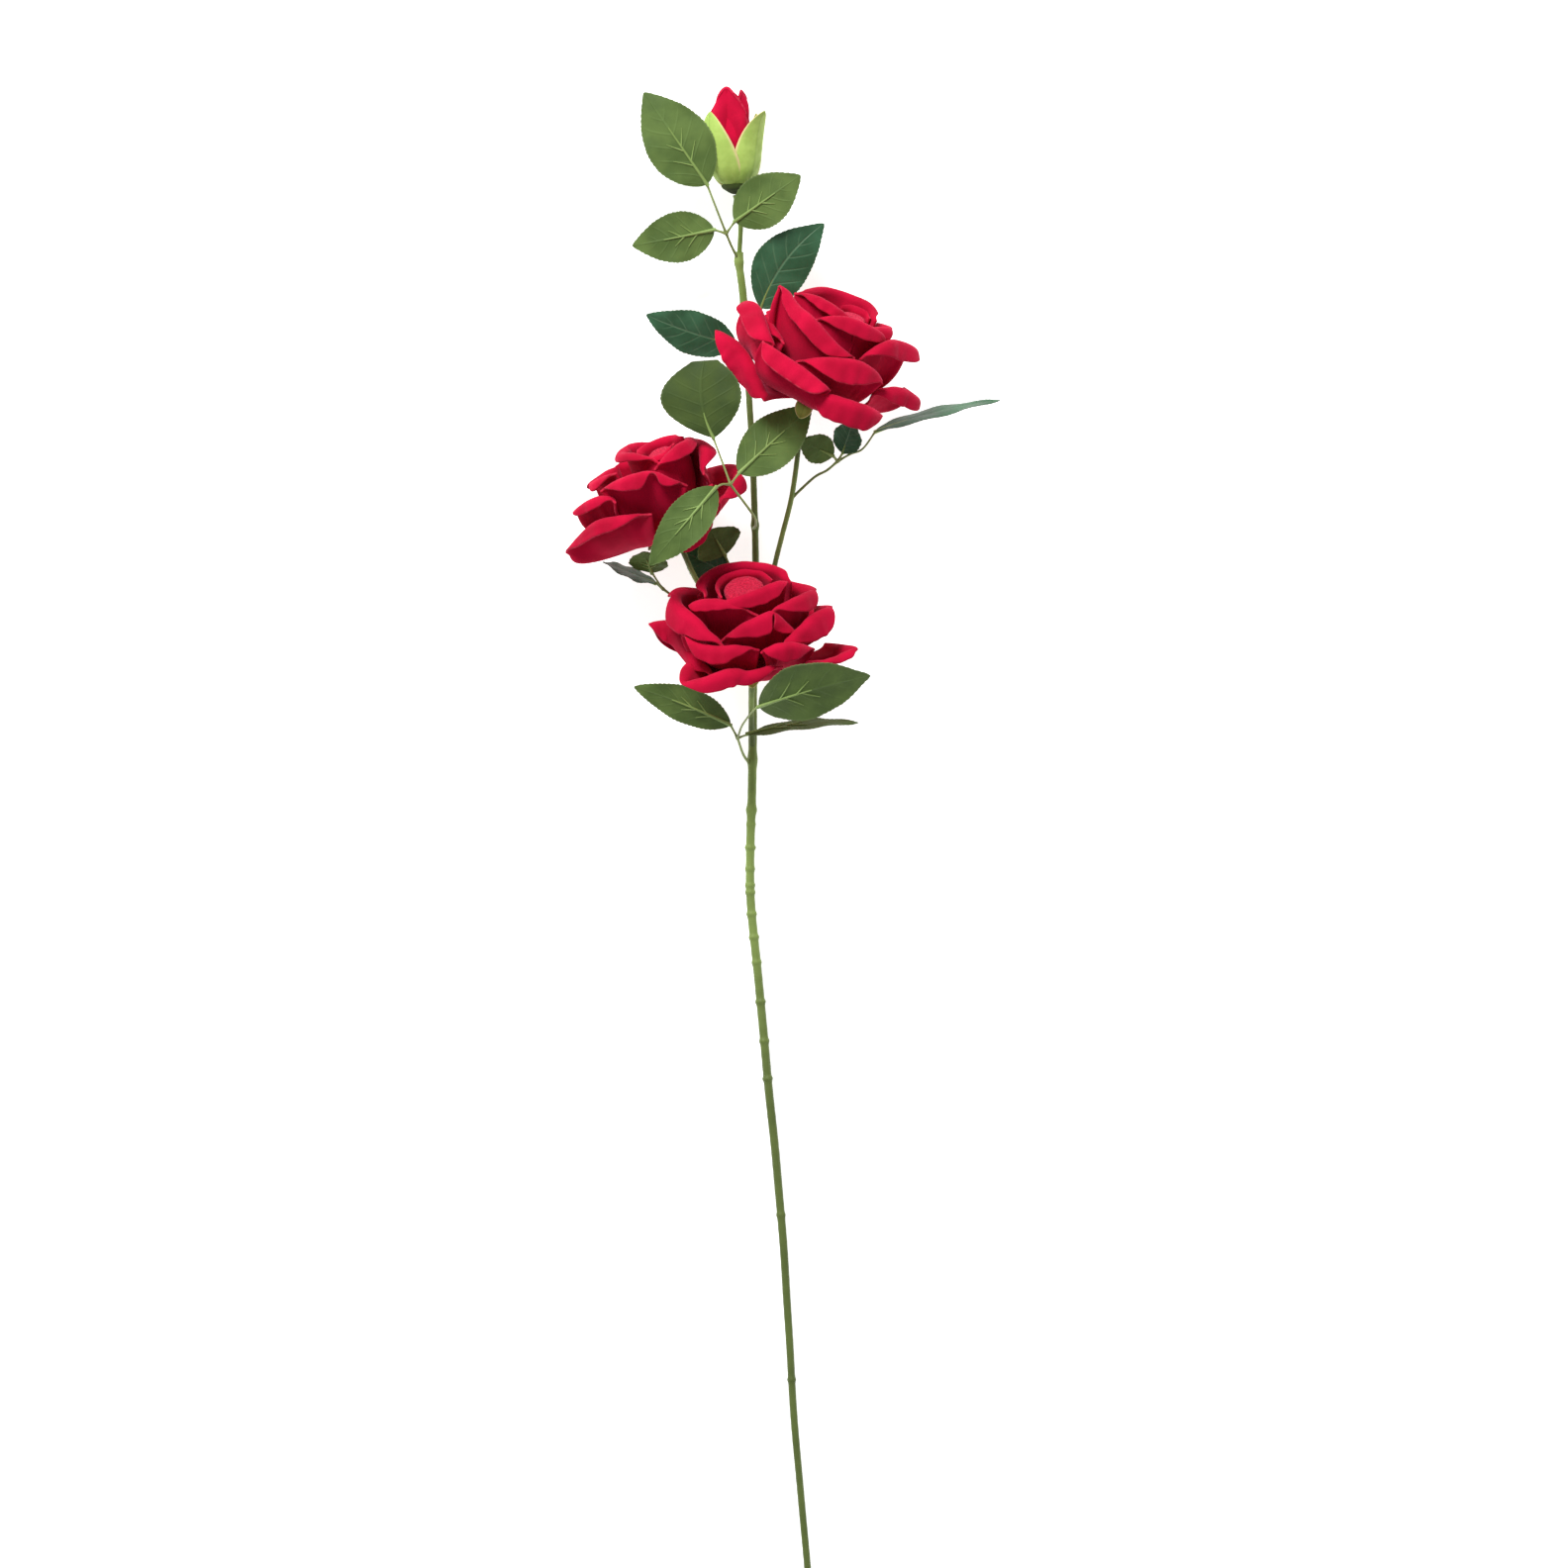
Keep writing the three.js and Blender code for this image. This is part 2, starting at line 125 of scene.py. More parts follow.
def curve_through(points: list[Point] | np.ndarray, spots: np.ndarray) -> np.ndarray:
    """Places on a smooth curve through points.

    Args:
        points: The points that the curve passes.
        spots: Places along it, counted in points from the first.

    Returns:
        One place per row.
    """
    knots = np.asarray(points, float)
    knots = np.vstack([2 * knots[0] - knots[1], knots, 2 * knots[-1] - knots[-2]])
    span = np.minimum(spots.astype(int), len(points) - 2)
    share = (spots - span)[:, None]
    before, start, end, after = (knots[span + k] for k in range(4))
    return (
        start
        + 0.5 * share * (end - before)
        + share**2 * (before - 2.5 * start + 2 * end - 0.5 * after)
        + share**3 * (1.5 * (start - end) + 0.5 * (after - before))
    )


class Route:
    """A smooth line through given points, with frames that don't twist along it."""

    STEPS_PER_SPAN = 24

    def __init__(self, points: list[Point] | np.ndarray) -> None:
        """Samples the line densely.

        Args:
            points: The points that the line passes, in millimetres.
        """
        spans = len(points) - 1
        spots = np.linspace(0, spans, spans * self.STEPS_PER_SPAN + 1)
        self.line = curve_through(points, spots)
        steps = np.linalg.norm(np.diff(self.line, axis=0), axis=1)
        self.marks = np.concatenate([[0], np.cumsum(steps)])
        self.length = float(self.marks[-1])
        self.tangents = unit(np.gradient(self.line, axis=0))
        normal = np.cross(self.tangents[0], (0.0, 0.0, 1.0))
        normals = []
        for tangent in self.tangents:
            normal = normal - tangent * normal.dot(tangent)
            normal = normal / np.linalg.norm(normal)
            normals.append(normal)
        self.normals = np.array(normals)

    def _along(self, rows: np.ndarray, places: np.ndarray) -> np.ndarray:
        """Rows of the dense samples, read at lengths along the line."""
        return np.stack([np.interp(places, self.marks, rows[:, k]) for k in range(3)], axis=-1)

    def ring_points(self, share: np.ndarray, angle: np.ndarray, radius: np.ndarray) -> np.ndarray:
        """Points round the line.

        Args:
            share: Place along the line, 0 to 1.
            angle: Turn round the line, in radians.
            radius: Distance from the line, in millimetres.

        Returns:
            One point per row, in millimetres.
        """
        places = share * self.length
        tangent = unit(self._along(self.tangents, places))
        normal = unit(self._along(self.normals, places))
        side = np.cross(tangent, normal)
        spoke = normal * np.cos(angle)[:, None] + side * np.sin(angle)[:, None]
        return self._along(self.line, places) + spoke * radius[:, None]


# ---------------------------------------------------------------------------------------------
# Workshop: the few modelling moves that every piece uses


def deselect_all() -> None:
    """Nothing is selected afterwards."""
    bpy.ops.object.select_all(action="DESELECT")


def pick(piece: bpy.types.Object) -> None:
    """Makes a piece the only selected and the active one.

    Args:
        piece: The piece.
    """
    deselect_all()
    piece.select_set(True)
    bpy.context.view_layer.objects.active = piece


def add_sheet(name: str, columns: int, rows: int, surface: Surface) -> bpy.types.Object:
    """A flat grid, bent into a surface.

    Args:
        name: The new piece's name.
        columns: Faces across.
        rows: Faces along.
        surface: Gives frame points from places across (-1 to 1) and along (0 to 1).

    Returns:
        The new piece. Its UV map keeps across as U and along as V, both 0 to 1.
    """
    deselect_all()
    bpy.ops.mesh.primitive_grid_add(x_subdivisions=columns, y_subdivisions=rows, size=2)
    sheet = bpy.context.active_object
    sheet.name = sheet.data.name = name
    flat = np.empty(len(sheet.data.vertices) * 3)
    sheet.data.vertices.foreach_get("co", flat)
    flat = flat.reshape(-1, 3)
    bent = surface(flat[:, 0], (flat[:, 1] + 1) / 2)
    sheet.data.vertices.foreach_set("co", np.ascontiguousarray(bent).ravel())
    sheet.data.update()
    return sheet


def close_seams(piece: bpy.types.Object, gap: float = 1e-6) -> None:
    """Merges doubled points, fills open ends and turns the faces outwards.

    Args:
        piece: The piece.
        gap: Distance under which points merge, in metres.
    """
    pick(piece)
    bpy.ops.object.mode_set(mode="EDIT")
    bpy.ops.mesh.select_all(action="SELECT")
    bpy.ops.mesh.remove_doubles(threshold=gap)
    bpy.ops.mesh.select_all(action="SELECT")
    bpy.ops.mesh.fill_holes(sides=0)
    bpy.ops.mesh.select_all(action="SELECT")
    bpy.ops.mesh.normals_make_consistent(inside=False)
    bpy.ops.object.mode_set(mode="OBJECT")


def apply_modifier(piece: bpy.types.Object, kind: str, **settings: object) -> None:
    """Adds a modifier with its settings and applies it.

    Args:
        piece: The piece.
        kind: The modifier's type.
        settings: Its properties.
    """
    pick(piece)
    modifier = piece.modifiers.new(kind.lower(), kind)
    for key, value in settings.items():
        setattr(modifier, key, value)
    bpy.ops.object.modifier_apply(modifier=modifier.name)


def refine(piece: bpy.types.Object, levels: int = 1) -> None:
    """Subdivides a piece smoothly."""
    apply_modifier(piece, "SUBSURF", levels=levels, render_levels=levels)


def shade(piece: bpy.types.Object, crease_degrees: float = 40) -> None:
    """Shades a piece smoothly, except over sharp edges."""
    pick(piece)
    bpy.ops.object.shade_smooth_by_angle(angle=math.radians(crease_degrees))


def join(pieces: list[bpy.types.Object], name: str) -> bpy.types.Object:
    """Joins pieces into the first one, under a new name.

    Args:
        pieces: The pieces.
        name: The joined piece's name.

    Returns:
        The joined piece.
    """
    pick(pieces[0])
    for piece in pieces[1:]:
        piece.select_set(True)
    if len(pieces) > 1:
        bpy.ops.object.join()
    joined = bpy.context.view_layer.objects.active
    joined.name = joined.data.name = name
    return joined


def add_tube(
    name: str,
    route: Route,
    radius: Callable[[np.ndarray, np.ndarray], np.ndarray],
    space: DesignSpace,
    sides: int = 12,
    pitch: float = 1.5,
) -> bpy.types.Object:
    """A closed tube along a route.

    Args:
        name: The new piece's name.
        route: Middle line of the tube.
        radius: Gives the radius in millimetres from the share of the length and the angle.
        space: Turns design places into frame places.
        sides: Faces round the tube.
        pitch: Length of a face along the tube, in millimetres.

    Returns:
        The tube.
    """

    def surface(across: np.ndarray, along: np.ndarray) -> np.ndarray:
        """Wraps the sheet round the route."""
        angle = across * math.pi
        return space.place(route.ring_points(along, angle, radius(along, angle)))

    tube = add_sheet(name, sides, max(4, round(route.length / pitch)), surface)
    close_seams(tube)
    return tube


def add_turning(
    name: str,
    profile: list[tuple[float, float]],
    to_frame: Callable[[np.ndarray], np.ndarray],
    sides: int = 32,
    rows: int = 24,
    wobble: Callable[[np.ndarray, np.ndarray], np.ndarray] | None = None,
) -> bpy.types.Object:
    """A solid turned about a flower's axis.

    Args:
        name: The new piece's name.
        profile: Radius and height pairs in millimetres, from the lower pole to the upper one.
        to_frame: Turns flower places into frame places.
        sides: Faces round the axis.
        rows: Faces along the profile.
        wobble: Gives a factor on the radius from the angle and the height.

    Returns:
        The solid.
    """
    outline = np.array(profile, float)
    lengths = np.concatenate([[0], np.cumsum(np.linalg.norm(np.diff(outline, axis=0), axis=1))])

    def surface(across: np.ndarray, along: np.ndarray) -> np.ndarray:
        """Turns the profile about the axis.

        Args:
            across: Places across, -1 to 1.
            along: Places along, 0 to 1.

        Returns:
            One point per row.
        """
        places = along * lengths[-1]
        radius = np.interp(places, lengths, outline[:, 0])
        height = np.interp(places, lengths, outline[:, 1])
        angle = across * math.pi
        if wobble is not None:
            radius = radius * wobble(angle, height)
        return to_frame(np.stack([radius * np.cos(angle), radius * np.sin(angle), height], axis=-1))

    solid = add_sheet(name, sides, rows, surface)
    close_seams(solid, gap=2e-5)
    return solid


# ---------------------------------------------------------------------------------------------
# Finishes


class Value:
    """A number socket that can be used in Python sums."""

    def __init__(self, graph: "Graph", socket: bpy.types.NodeSocket) -> None:
        """Keeps the socket and the graph that it belongs to."""
        self.graph = graph
        self.socket = socket

    def _math(self, operation: str, *terms: "Value | float") -> "Value":
        """A Math node on some terms."""
        return self.graph.add("ShaderNodeMath", {"operation": operation}, dict(enumerate(terms)))

    def __add__(self, other: "Value | float") -> "Value":
        """Sum."""
        return self._math("ADD", self, other)

    def __sub__(self, other: "Value | float") -> "Value":
        """Difference."""
        return self._math("SUBTRACT", self, other)

    def __rsub__(self, other: float) -> "Value":
        """Difference from a number."""
        return self._math("SUBTRACT", other, self)

    def __mul__(self, other: "Value | float") -> "Value":
        """Product."""
        return self._math("MULTIPLY", self, other)

    __radd__ = __add__
    __rmul__ = __mul__

    def size(self) -> "Value":
        """Value without its sign."""
        return self._math("ABSOLUTE", self)

    def fraction(self) -> "Value":
        """Part after the decimal point."""
        return self._math("FRACT", self)

    def sine(self) -> "Value":
        """Sine of an angle in radians."""
        return self._math("SINE", self)

    def rise(self, low: float, high: float) -> "Value":
        """Smooth rise from 0 at low to 1 at high.

        Args:
            low: Where the rise starts.
            high: Where it ends.

        Returns:
            The rise.
        """
        settings = {"interpolation_type": "SMOOTHSTEP"}
        inputs = {"Value": self, "From Min": low, "From Max": high}
        return self.graph.add("ShaderNodeMapRange", settings, inputs, "Result")


class Graph:
    """The nodes of one material."""

    def __init__(self, name: str) -> None:
        """Makes a material with a Principled shader on its output.

        Args:
            name: The material's name.
        """
        self.material = bpy.data.materials.new(name)
        self.material.use_nodes = True
        self.nodes = self.material.node_tree.nodes
        self.nodes.clear()
        output = self.nodes.new("ShaderNodeOutputMaterial")
        self.shader = self.nodes.new("ShaderNodeBsdfPrincipled")
        self.material.node_tree.links.new(self.shader.outputs[0], output.inputs[0])

    def add(
        self,
        kind: str,
        settings: dict[str, object] | None = None,
        inputs: dict[str | int, object] | None = None,
        output: str | int = 0,
    ) -> Value:
        """Adds a node.

        Args:
            kind: The node's type.
            settings: Its properties, set before its sockets.
            inputs: Values or links for its sockets, by name or number.
            output: The output to hand back.

        Returns:
            The chosen output.
        """
        node = self.nodes.new(kind)
        for key, value in (settings or {}).items():
            setattr(node, key, value)
        for key, value in (inputs or {}).items():
            self.feed(node.inputs[key], value)
        return Value(self, node.outputs[output])

    def feed(self, socket: bpy.types.NodeSocket, value: object) -> None:
        """Links a value to a socket, or sets the socket's own number.

        Args:
            socket: The socket.
            value: A value to link, or the number or colour to set.
        """
        if isinstance(value, Value):
            self.material.node_tree.links.new(value.socket, socket)
        else:
            socket.default_value = value

    def place(self) -> Value:
        """Object coordinates, in metres."""
        return self.add("ShaderNodeTexCoord", output="Object")

    def sheet(self) -> tuple[Value, Value]:
        """Place across (-1 to 1) and along (0 to 1) the piece's own sheet.

        Returns:
            The two places.
        """
        uv = self.add("ShaderNodeTexCoord", output="UV")
        split = self.nodes.new("ShaderNodeSeparateXYZ")
        self.feed(split.inputs[0], uv)
        return Value(self, split.outputs[0]) * 2.0 - 1.0, Value(self, split.outputs[1])

    def noise(self, scale: float, detail: float = 2.0, place: Value | None = None) -> Value:
        """Noise between 0 and 1, by default on object coordinates."""
        inputs = {"Vector": place or self.place(), "Scale": scale, "Detail": detail}
        return self.add("ShaderNodeTexNoise", {}, inputs)

    def stretched(self, scale: Point) -> Value:
        """Object coordinates, scaled by axis."""
        return self.add("ShaderNodeMapping", {}, {"Vector": self.place(), "Scale": scale})

    def mix(self, share: Value | float, low: Value | Colour, high: Value | Colour) -> Value:
        """Blend of two colours."""
        return self.add("ShaderNodeMix", {"data_type": "RGBA"}, {0: share, 6: low, 7: high}, 2)

    def bump(self, height: Value, strength: float, depth: float) -> Value:
        """Normal of a bumpy surface; depth is in metres."""
        inputs = {"Height": height, "Strength": strength, "Distance": depth}
        return self.add("ShaderNodeBump", {}, inputs, "Normal")

    def finish(self, **sockets: object) -> bpy.types.Material:
        """Sets the shader's sockets, named with _ for a blank, and gives the material.

        Args:
            sockets: Values or links for the sockets.

        Returns:
            The material.
        """
        for key, value in sockets.items():
            self.feed(self.shader.inputs[key.replace("_", " ")], value)
        return self.material


@dataclass(frozen=True)
class VelvetFinish:
    """Crimson flock on foam: soft, rough, brighter where the nap stands up, paler at the rim, with
    painted shade towards the foot.
    """

    deep: Colour = (0.33, 0.0015, 0.020, 1)
    lit: Colour = (0.60, 0.003, 0.042, 1)
    rim: Colour = (0.62, 0.08, 0.12, 1)
    nap: float = 0.00022

    BRUSHED_SCALE = 55.0
    FIBRE_SCALE = 2600.0
    PILE_SCALE = 900.0
    RIM_SCALE = 500.0

    def material(self) -> bpy.types.Material:
        """The finish as a material.

        Returns:
            The material.
        """
        graph = Graph("velvet")
        _, along = graph.sheet()
        brushed = graph.noise(self.BRUSHED_SCALE, 3.0).rise(0.3, 0.72)
        fibre = graph.noise(self.FIBRE_SCALE, 1.0)
        # Painted shade: the velvet darkens towards each petal's foot, where the hollows of the
        # bloom lie in shade.
        depth = along.rise(0.15, 0.6) * 0.3 + 0.7
        base = graph.mix((brushed * 0.6 + fibre * 0.4) * depth, self.deep, self.lit)
        edge = along.rise(0.985, 1.0) * graph.noise(self.RIM_SCALE).rise(0.3, 0.7)
        return graph.finish(
            Base_Color=graph.mix(edge * 0.35, base, self.rim),
            Roughness=0.82 + 0.12 * fibre,
            Specular_IOR_Level=0.1,
            Sheen_Weight=0.27,
            Sheen_Roughness=0.45,
            Sheen_Tint=(1.0, 0.18, 0.32, 1),
            Normal=graph.bump(fibre + 0.6 * graph.noise(self.PILE_SCALE), 0.35, self.nap),
        )


@dataclass(frozen=True)
class FoamFinish:
    """Crimson foam of the rolled core, with coarse open grain."""

    deep: Colour = (0.40, 0.004, 0.026, 1)
    lit: Colour = (0.68, 0.016, 0.060, 1)
    grain: float = 0.0006

    CELL_SCALE = 1150.0

    def material(self) -> bpy.types.Material:
        """The finish as a material.

        Returns:
            The material.
        """
        graph = Graph("foam")
        cells = graph.noise(self.CELL_SCALE, 3.0).rise(0.3, 0.72)
        return graph.finish(
            Base_Color=graph.mix(cells, self.deep, self.lit),
            Roughness=0.85 + 0.1 * cells,
            Specular_IOR_Level=0.1,
            Sheen_Weight=0.3,
            Sheen_Tint=(1.0, 0.25, 0.4, 1),
            Normal=graph.bump(cells, 0.8, self.grain),
        )


@dataclass(frozen=True)
class LeafFinish:
    """One face of a printed cloth leaflet, with a midrib, side veins and a fine weave."""

    name: str
    deep: Colour
    lit: Colour
    vein: Colour
    rim: Colour
    vein_share: float
    relief: float
    roughness: float
    side_veins: float = 6.5

    PATCH_SCALE = 70.0
    THREAD_SCALE = 18000.0
    RELIEF_DEPTH = 0.0005

    def material(self) -> bpy.types.Material:
        """The finish as a material.

        Returns:
            The material.
        """
        graph = Graph(self.name)
        across, along = graph.sheet()
        reach = across.size()
        pattern = (along * self.side_veins - reach * 1.5 + 8.0).fraction() - 0.5
        side = 1.0 - pattern.size().rise(0.015, 0.1)
        side = side * (1.0 - reach.rise(0.55, 1.0)) * (1.0 - along.rise(0.68, 0.86))
        midrib = 1.0 - reach.rise(0.012, 0.06)
        veins = midrib + side * 0.6 * (1.0 - midrib)
        patches = graph.noise(self.PATCH_SCALE, 3.0).rise(0.3, 0.7)
        weave = self._weave(graph)
        cloth = graph.mix(patches * 0.7 + weave * 0.3, self.deep, self.lit)
        veined = graph.mix(veins * self.vein_share, cloth, self.vein)
        edge = (reach + along.rise(0.9, 1.0) * 0.4).rise(0.93, 1.0)
        relief = veins * self.relief + weave * 0.12 + patches * 0.4
        return graph.finish(
            Base_Color=graph.mix(edge * 0.55, veined, self.rim),
            Roughness=self.roughness + 0.15 * patches,
            Specular_IOR_Level=0.3,
            Normal=graph.bump(relief, 0.5, self.RELIEF_DEPTH),
        )

    def _weave(self, graph: Graph) -> Value:
        """Crossed threads, 0.35 mm apart.

        Args:
            graph: The graph that gets the nodes.

        Returns:
            A height between 0 and 1.
        """
        split = graph.nodes.new("ShaderNodeSeparateXYZ")
        graph.feed(split.inputs[0], graph.place())
        threads = [Value(graph, split.outputs[k]) * self.THREAD_SCALE for k in (0, 1)]
        return threads[0].sine() * threads[1].sine() * 0.5 + 0.5


@dataclass(frozen=True)
class PlasticFinish:
    """Moulded stem plastic that runs from one tone to another along the piece, with painted shade
    that can darken its upper end.
    """

    name: str
    low: Colour
    high: Colour
    shade: Colour
    roughness: float = 0.45
    turn: tuple[float, float] = (0.0, 1.0)
    painted_shade_end: float = 0.0

    STREAK_SCALE = (900.0, 60.0, 900.0)
    PATCH_SCALE = 45.0
    PAINTED_SHADE_SPAN = (0.72, 0.88)
    RELIEF_DEPTH = 0.0002

    def material(self) -> bpy.types.Material:
        """The finish as a material.

        Returns:
            The material.
        """
        graph = Graph(self.name)
        length = graph.sheet()[1]
        along = length.rise(*self.turn)
        streaks = graph.noise(1.0, 3.0, graph.stretched(self.STREAK_SCALE))
        patches = graph.noise(self.PATCH_SCALE, 3.0).rise(0.35, 0.75)
        tone = graph.mix(along, self.low, self.high)
        aged = patches * 0.45 + streaks * 0.25
        tone = graph.mix(aged, tone, self.shade)
        # Painted shade: the upper end of the piece darkens towards the shade colour, as the stem
        # under the blooms lies in shade.
        tone = graph.mix(length.rise(*self.PAINTED_SHADE_SPAN) * self.painted_shade_end, tone, self.shade)
        return graph.finish(
            Base_Color=tone,
            Roughness=self.roughness + 0.2 * streaks,
            Specular_IOR_Level=0.4,
            Normal=graph.bump(streaks + 0.5 * patches, 0.35, self.RELIEF_DEPTH),
        )


@dataclass(frozen=True)
class SepalFinish:
    """Yellow-green cloth with a pinkish edge, a faint middle vein and painted shade towards the
    foot.
    """

    base: Colour = (0.42, 0.58, 0.13, 1)
    deep: Colour = (0.22, 0.34, 0.05, 1)
    rim: Colour = (0.80, 0.58, 0.32, 1)

    PATCH_SCALE = 160.0
    RELIEF_DEPTH = 0.0003

    def material(self) -> bpy.types.Material:
        """The finish as a material.

        Returns:
            The material.
        """
        graph = Graph("sepal")
        across, along = graph.sheet()
        patches = graph.noise(self.PATCH_SCALE, 3.0).rise(0.3, 0.7)
        vein = 1.0 - across.size().rise(0.02, 0.12)
        # Painted shade: the sepals darken towards their foot, where they sit in shade round the
        # receptacle.
        foot = 1.0 - along.rise(0.05, 0.45)
        tone = graph.mix(patches * 0.4 + vein * 0.3 + foot * 0.5, self.base, self.deep)
        edge = across.size().rise(0.84, 0.97)
        return graph.finish(
            Base_Color=graph.mix(edge * 0.7, tone, self.rim),
            Roughness=0.6 + 0.15 * patches,
            Specular_IOR_Level=0.3,
            Normal=graph.bump(patches + vein, 0.4, self.RELIEF_DEPTH),
        )


Finish = VelvetFinish | FoamFinish | LeafFinish | PlasticFinish | SepalFinish


def dressed(finish: Finish) -> bpy.types.Material:
    """A palette entry that makes its finish when the palette is made."""
    return field(default_factory=finish.material)


@dataclass
class Palette:
    """The materials of the spray, each made once."""

    velvet: bpy.types.Material = dressed(VelvetFinish())
    foam: bpy.types.Material = dressed(FoamFinish())
    sepal: bpy.types.Material = dressed(SepalFinish())
    leaf_upper: bpy.types.Material = dressed(
        LeafFinish(
            "leaf_upper",
            deep=(0.021, 0.078, 0.032, 1),
            lit=(0.048, 0.150, 0.072, 1),
            vein=(0.20, 0.34, 0.19, 1),
            rim=(0.05, 0.12, 0.05, 1),
            vein_share=0.35,
            relief=-1.0,
            roughness=0.42,
        )
    )
    leaf_under: bpy.types.Material = dressed(
        LeafFinish(
            "leaf_under",
            deep=(0.058, 0.105, 0.018, 1),
            lit=(0.115, 0.18, 0.042, 1),
            vein=(0.20, 0.31, 0.10, 1),
            rim=(0.16, 0.22, 0.08, 1),
            vein_share=0.15,
            relief=1.0,
            roughness=0.62,
        )
    )
    # A darker underside for the leaflet that lies in shade: partly a darker cloth, partly painted
    # shade.
    leaf_dark_and_shaded: bpy.types.Material = dressed(
        LeafFinish(
            "leaf_dark_and_shaded",
            deep=(0.030, 0.058, 0.009, 1),
            lit=(0.062, 0.098, 0.018, 1),
            vein=(0.11, 0.17, 0.045, 1),
            rim=(0.12, 0.17, 0.06, 1),
            vein_share=0.15,
            relief=1.0,
            roughness=0.62,
        )
    )
    stem: bpy.types.Material = dressed(
        PlasticFinish(
            "stem",
            low=(0.123, 0.169, 0.036, 1),
            high=(0.289, 0.406, 0.099, 1),
            shade=(0.062, 0.09, 0.017, 1),
            turn=(0.35, 0.6),
            # Painted shade on the upper ends of the stem and branches, under the blooms.
            painted_shade_end=0.75,
        )
    )
    stalk: bpy.types.Material = dressed(
        PlasticFinish(
            "stalk",
            low=(0.22, 0.28, 0.08, 1),
            high=(0.30, 0.40, 0.12, 1),
            shade=(0.14, 0.15, 0.05, 1),
        )
    )
    rib: bpy.types.Material = dressed(
        PlasticFinish(
            "rib",
            low=(0.26, 0.38, 0.11, 1),
            high=(0.21, 0.31, 0.08, 1),
            shade=(0.15, 0.22, 0.05, 1),
        )
    )
    # Painted shade: the receptacle is a dark green darkened further for the shade that it sits in,
    # darkest at its lower pole.
    receptacle: bpy.types.Material = dressed(
        PlasticFinish(
            "receptacle",
            low=(0.030, 0.045, 0.008, 1),
            high=(0.12, 0.18, 0.03, 1),
            shade=(0.02, 0.03, 0.006, 1),
            roughness=0.8,
        )
    )
    joint: bpy.types.Material = dressed(
        PlasticFinish(
            "joint",
            low=(0.179, 0.263, 0.051, 1),
            high=(0.261, 0.354, 0.09, 1),
            shade=(0.11, 0.164, 0.032, 1),
        )
    )


class Slot(Enum):
    """The record's material slots."""

    VELVET = "velvet"
    LEAF = "leaf_cloth"
    STEM = "stem_plastic"
    JOINT = "joint_plastic"
    SEPAL = "sepal_cloth"


def hand_over(
    piece: bpy.types.Object,
    slot: Slot,
    materials: list[bpy.types.Material],
    *nodes: str,
) -> None:
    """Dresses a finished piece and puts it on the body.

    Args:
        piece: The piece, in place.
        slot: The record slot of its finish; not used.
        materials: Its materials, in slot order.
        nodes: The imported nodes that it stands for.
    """
    if not piece.data.materials:
        for material in materials:
            piece.data.materials.append(material)
    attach(piece, BODY)
    if nodes:
        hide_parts(*nodes)
    log.info("%s: %d faces, stands for %s", piece.name, len(piece.data.polygons), nodes or "-")


# ---------------------------------------------------------------------------------------------
# Stems


@dataclass
class Knot:
    """A ring or bulge on a stem: place along +Y in millimetres, swell and length."""

    place: float
    swell: float
    length: float = 1.2


@dataclass
class Stem:
    """A moulded stem, branch or sleeve.

    The head flare is in millimetres. The taper is the share by which the foot is thinner, and
    the head taper the share by which the upper end is.
    """

    name: str
    node: str
    points: list[Point]
    radius: float
    slot: Slot = Slot.STEM
    knots: list[Knot] = field(default_factory=list)
    head_flare: float = 0.0
    taper: float = 0.0
    head_taper: float = 0.0

    FOOT_SPAN = (0.0, 0.45)
    HEAD_SPAN = (0.7, 0.85)
    FLARE_LENGTH = 4.0
    OUT_OF_ROUND = 0.03
    UNEVENNESS = 0.015

    def build(self, space: DesignSpace, material: bpy.types.Material) -> bpy.types.Object:
        """Models the stem as a closed tube with its knots.

        Args:
            space: Turns design places into frame places.
            material: The stem's plastic.

        Returns:
            The stem.
        """
        route = Route(self.points)
        heights = route.line[:, 1]

        def radius(along: np.ndarray, angle: np.ndarray) -> np.ndarray:
            """Radius with knots, flares and a slightly uneven round.

            Args:
                along: Places along, 0 to 1.
                angle: Turns round the line, in radians.

            Returns:
                The radii, in millimetres.
            """
            here = np.interp(along * route.length, route.marks, heights)
            size = self.radius * (1 - self.taper * (1 - smoothstep(*self.FOOT_SPAN, along)))
            size *= 1 - self.head_taper * smoothstep(*self.HEAD_SPAN, along)
            for knot in self.knots:
                size += knot.swell * np.exp(-(((here - knot.place) / knot.length) ** 2))
            travelled = along * route.length
            size += self.head_flare * np.exp(-(route.length - travelled) / self.FLARE_LENGTH)
            lobes = self.OUT_OF_ROUND * np.sin(3 * angle + 0.11 * here)
            return size * (1 + lobes + self.UNEVENNESS * np.sin(0.9 * here))

        tube = add_tube(self.name, route, radius, space, sides=16, pitch=0.8)
        shade(tube, 60)
        hand_over(tube, self.slot, [material], self.node)
        return tube


# ---------------------------------------------------------------------------------------------
# Leaf sprays


class LeafSide(Enum):
    """The side of a leaflet that faces up in the lying spray."""

    UNDER = "underside, with the plastic ribs"
    UPPER = "upper side, dark and veined"


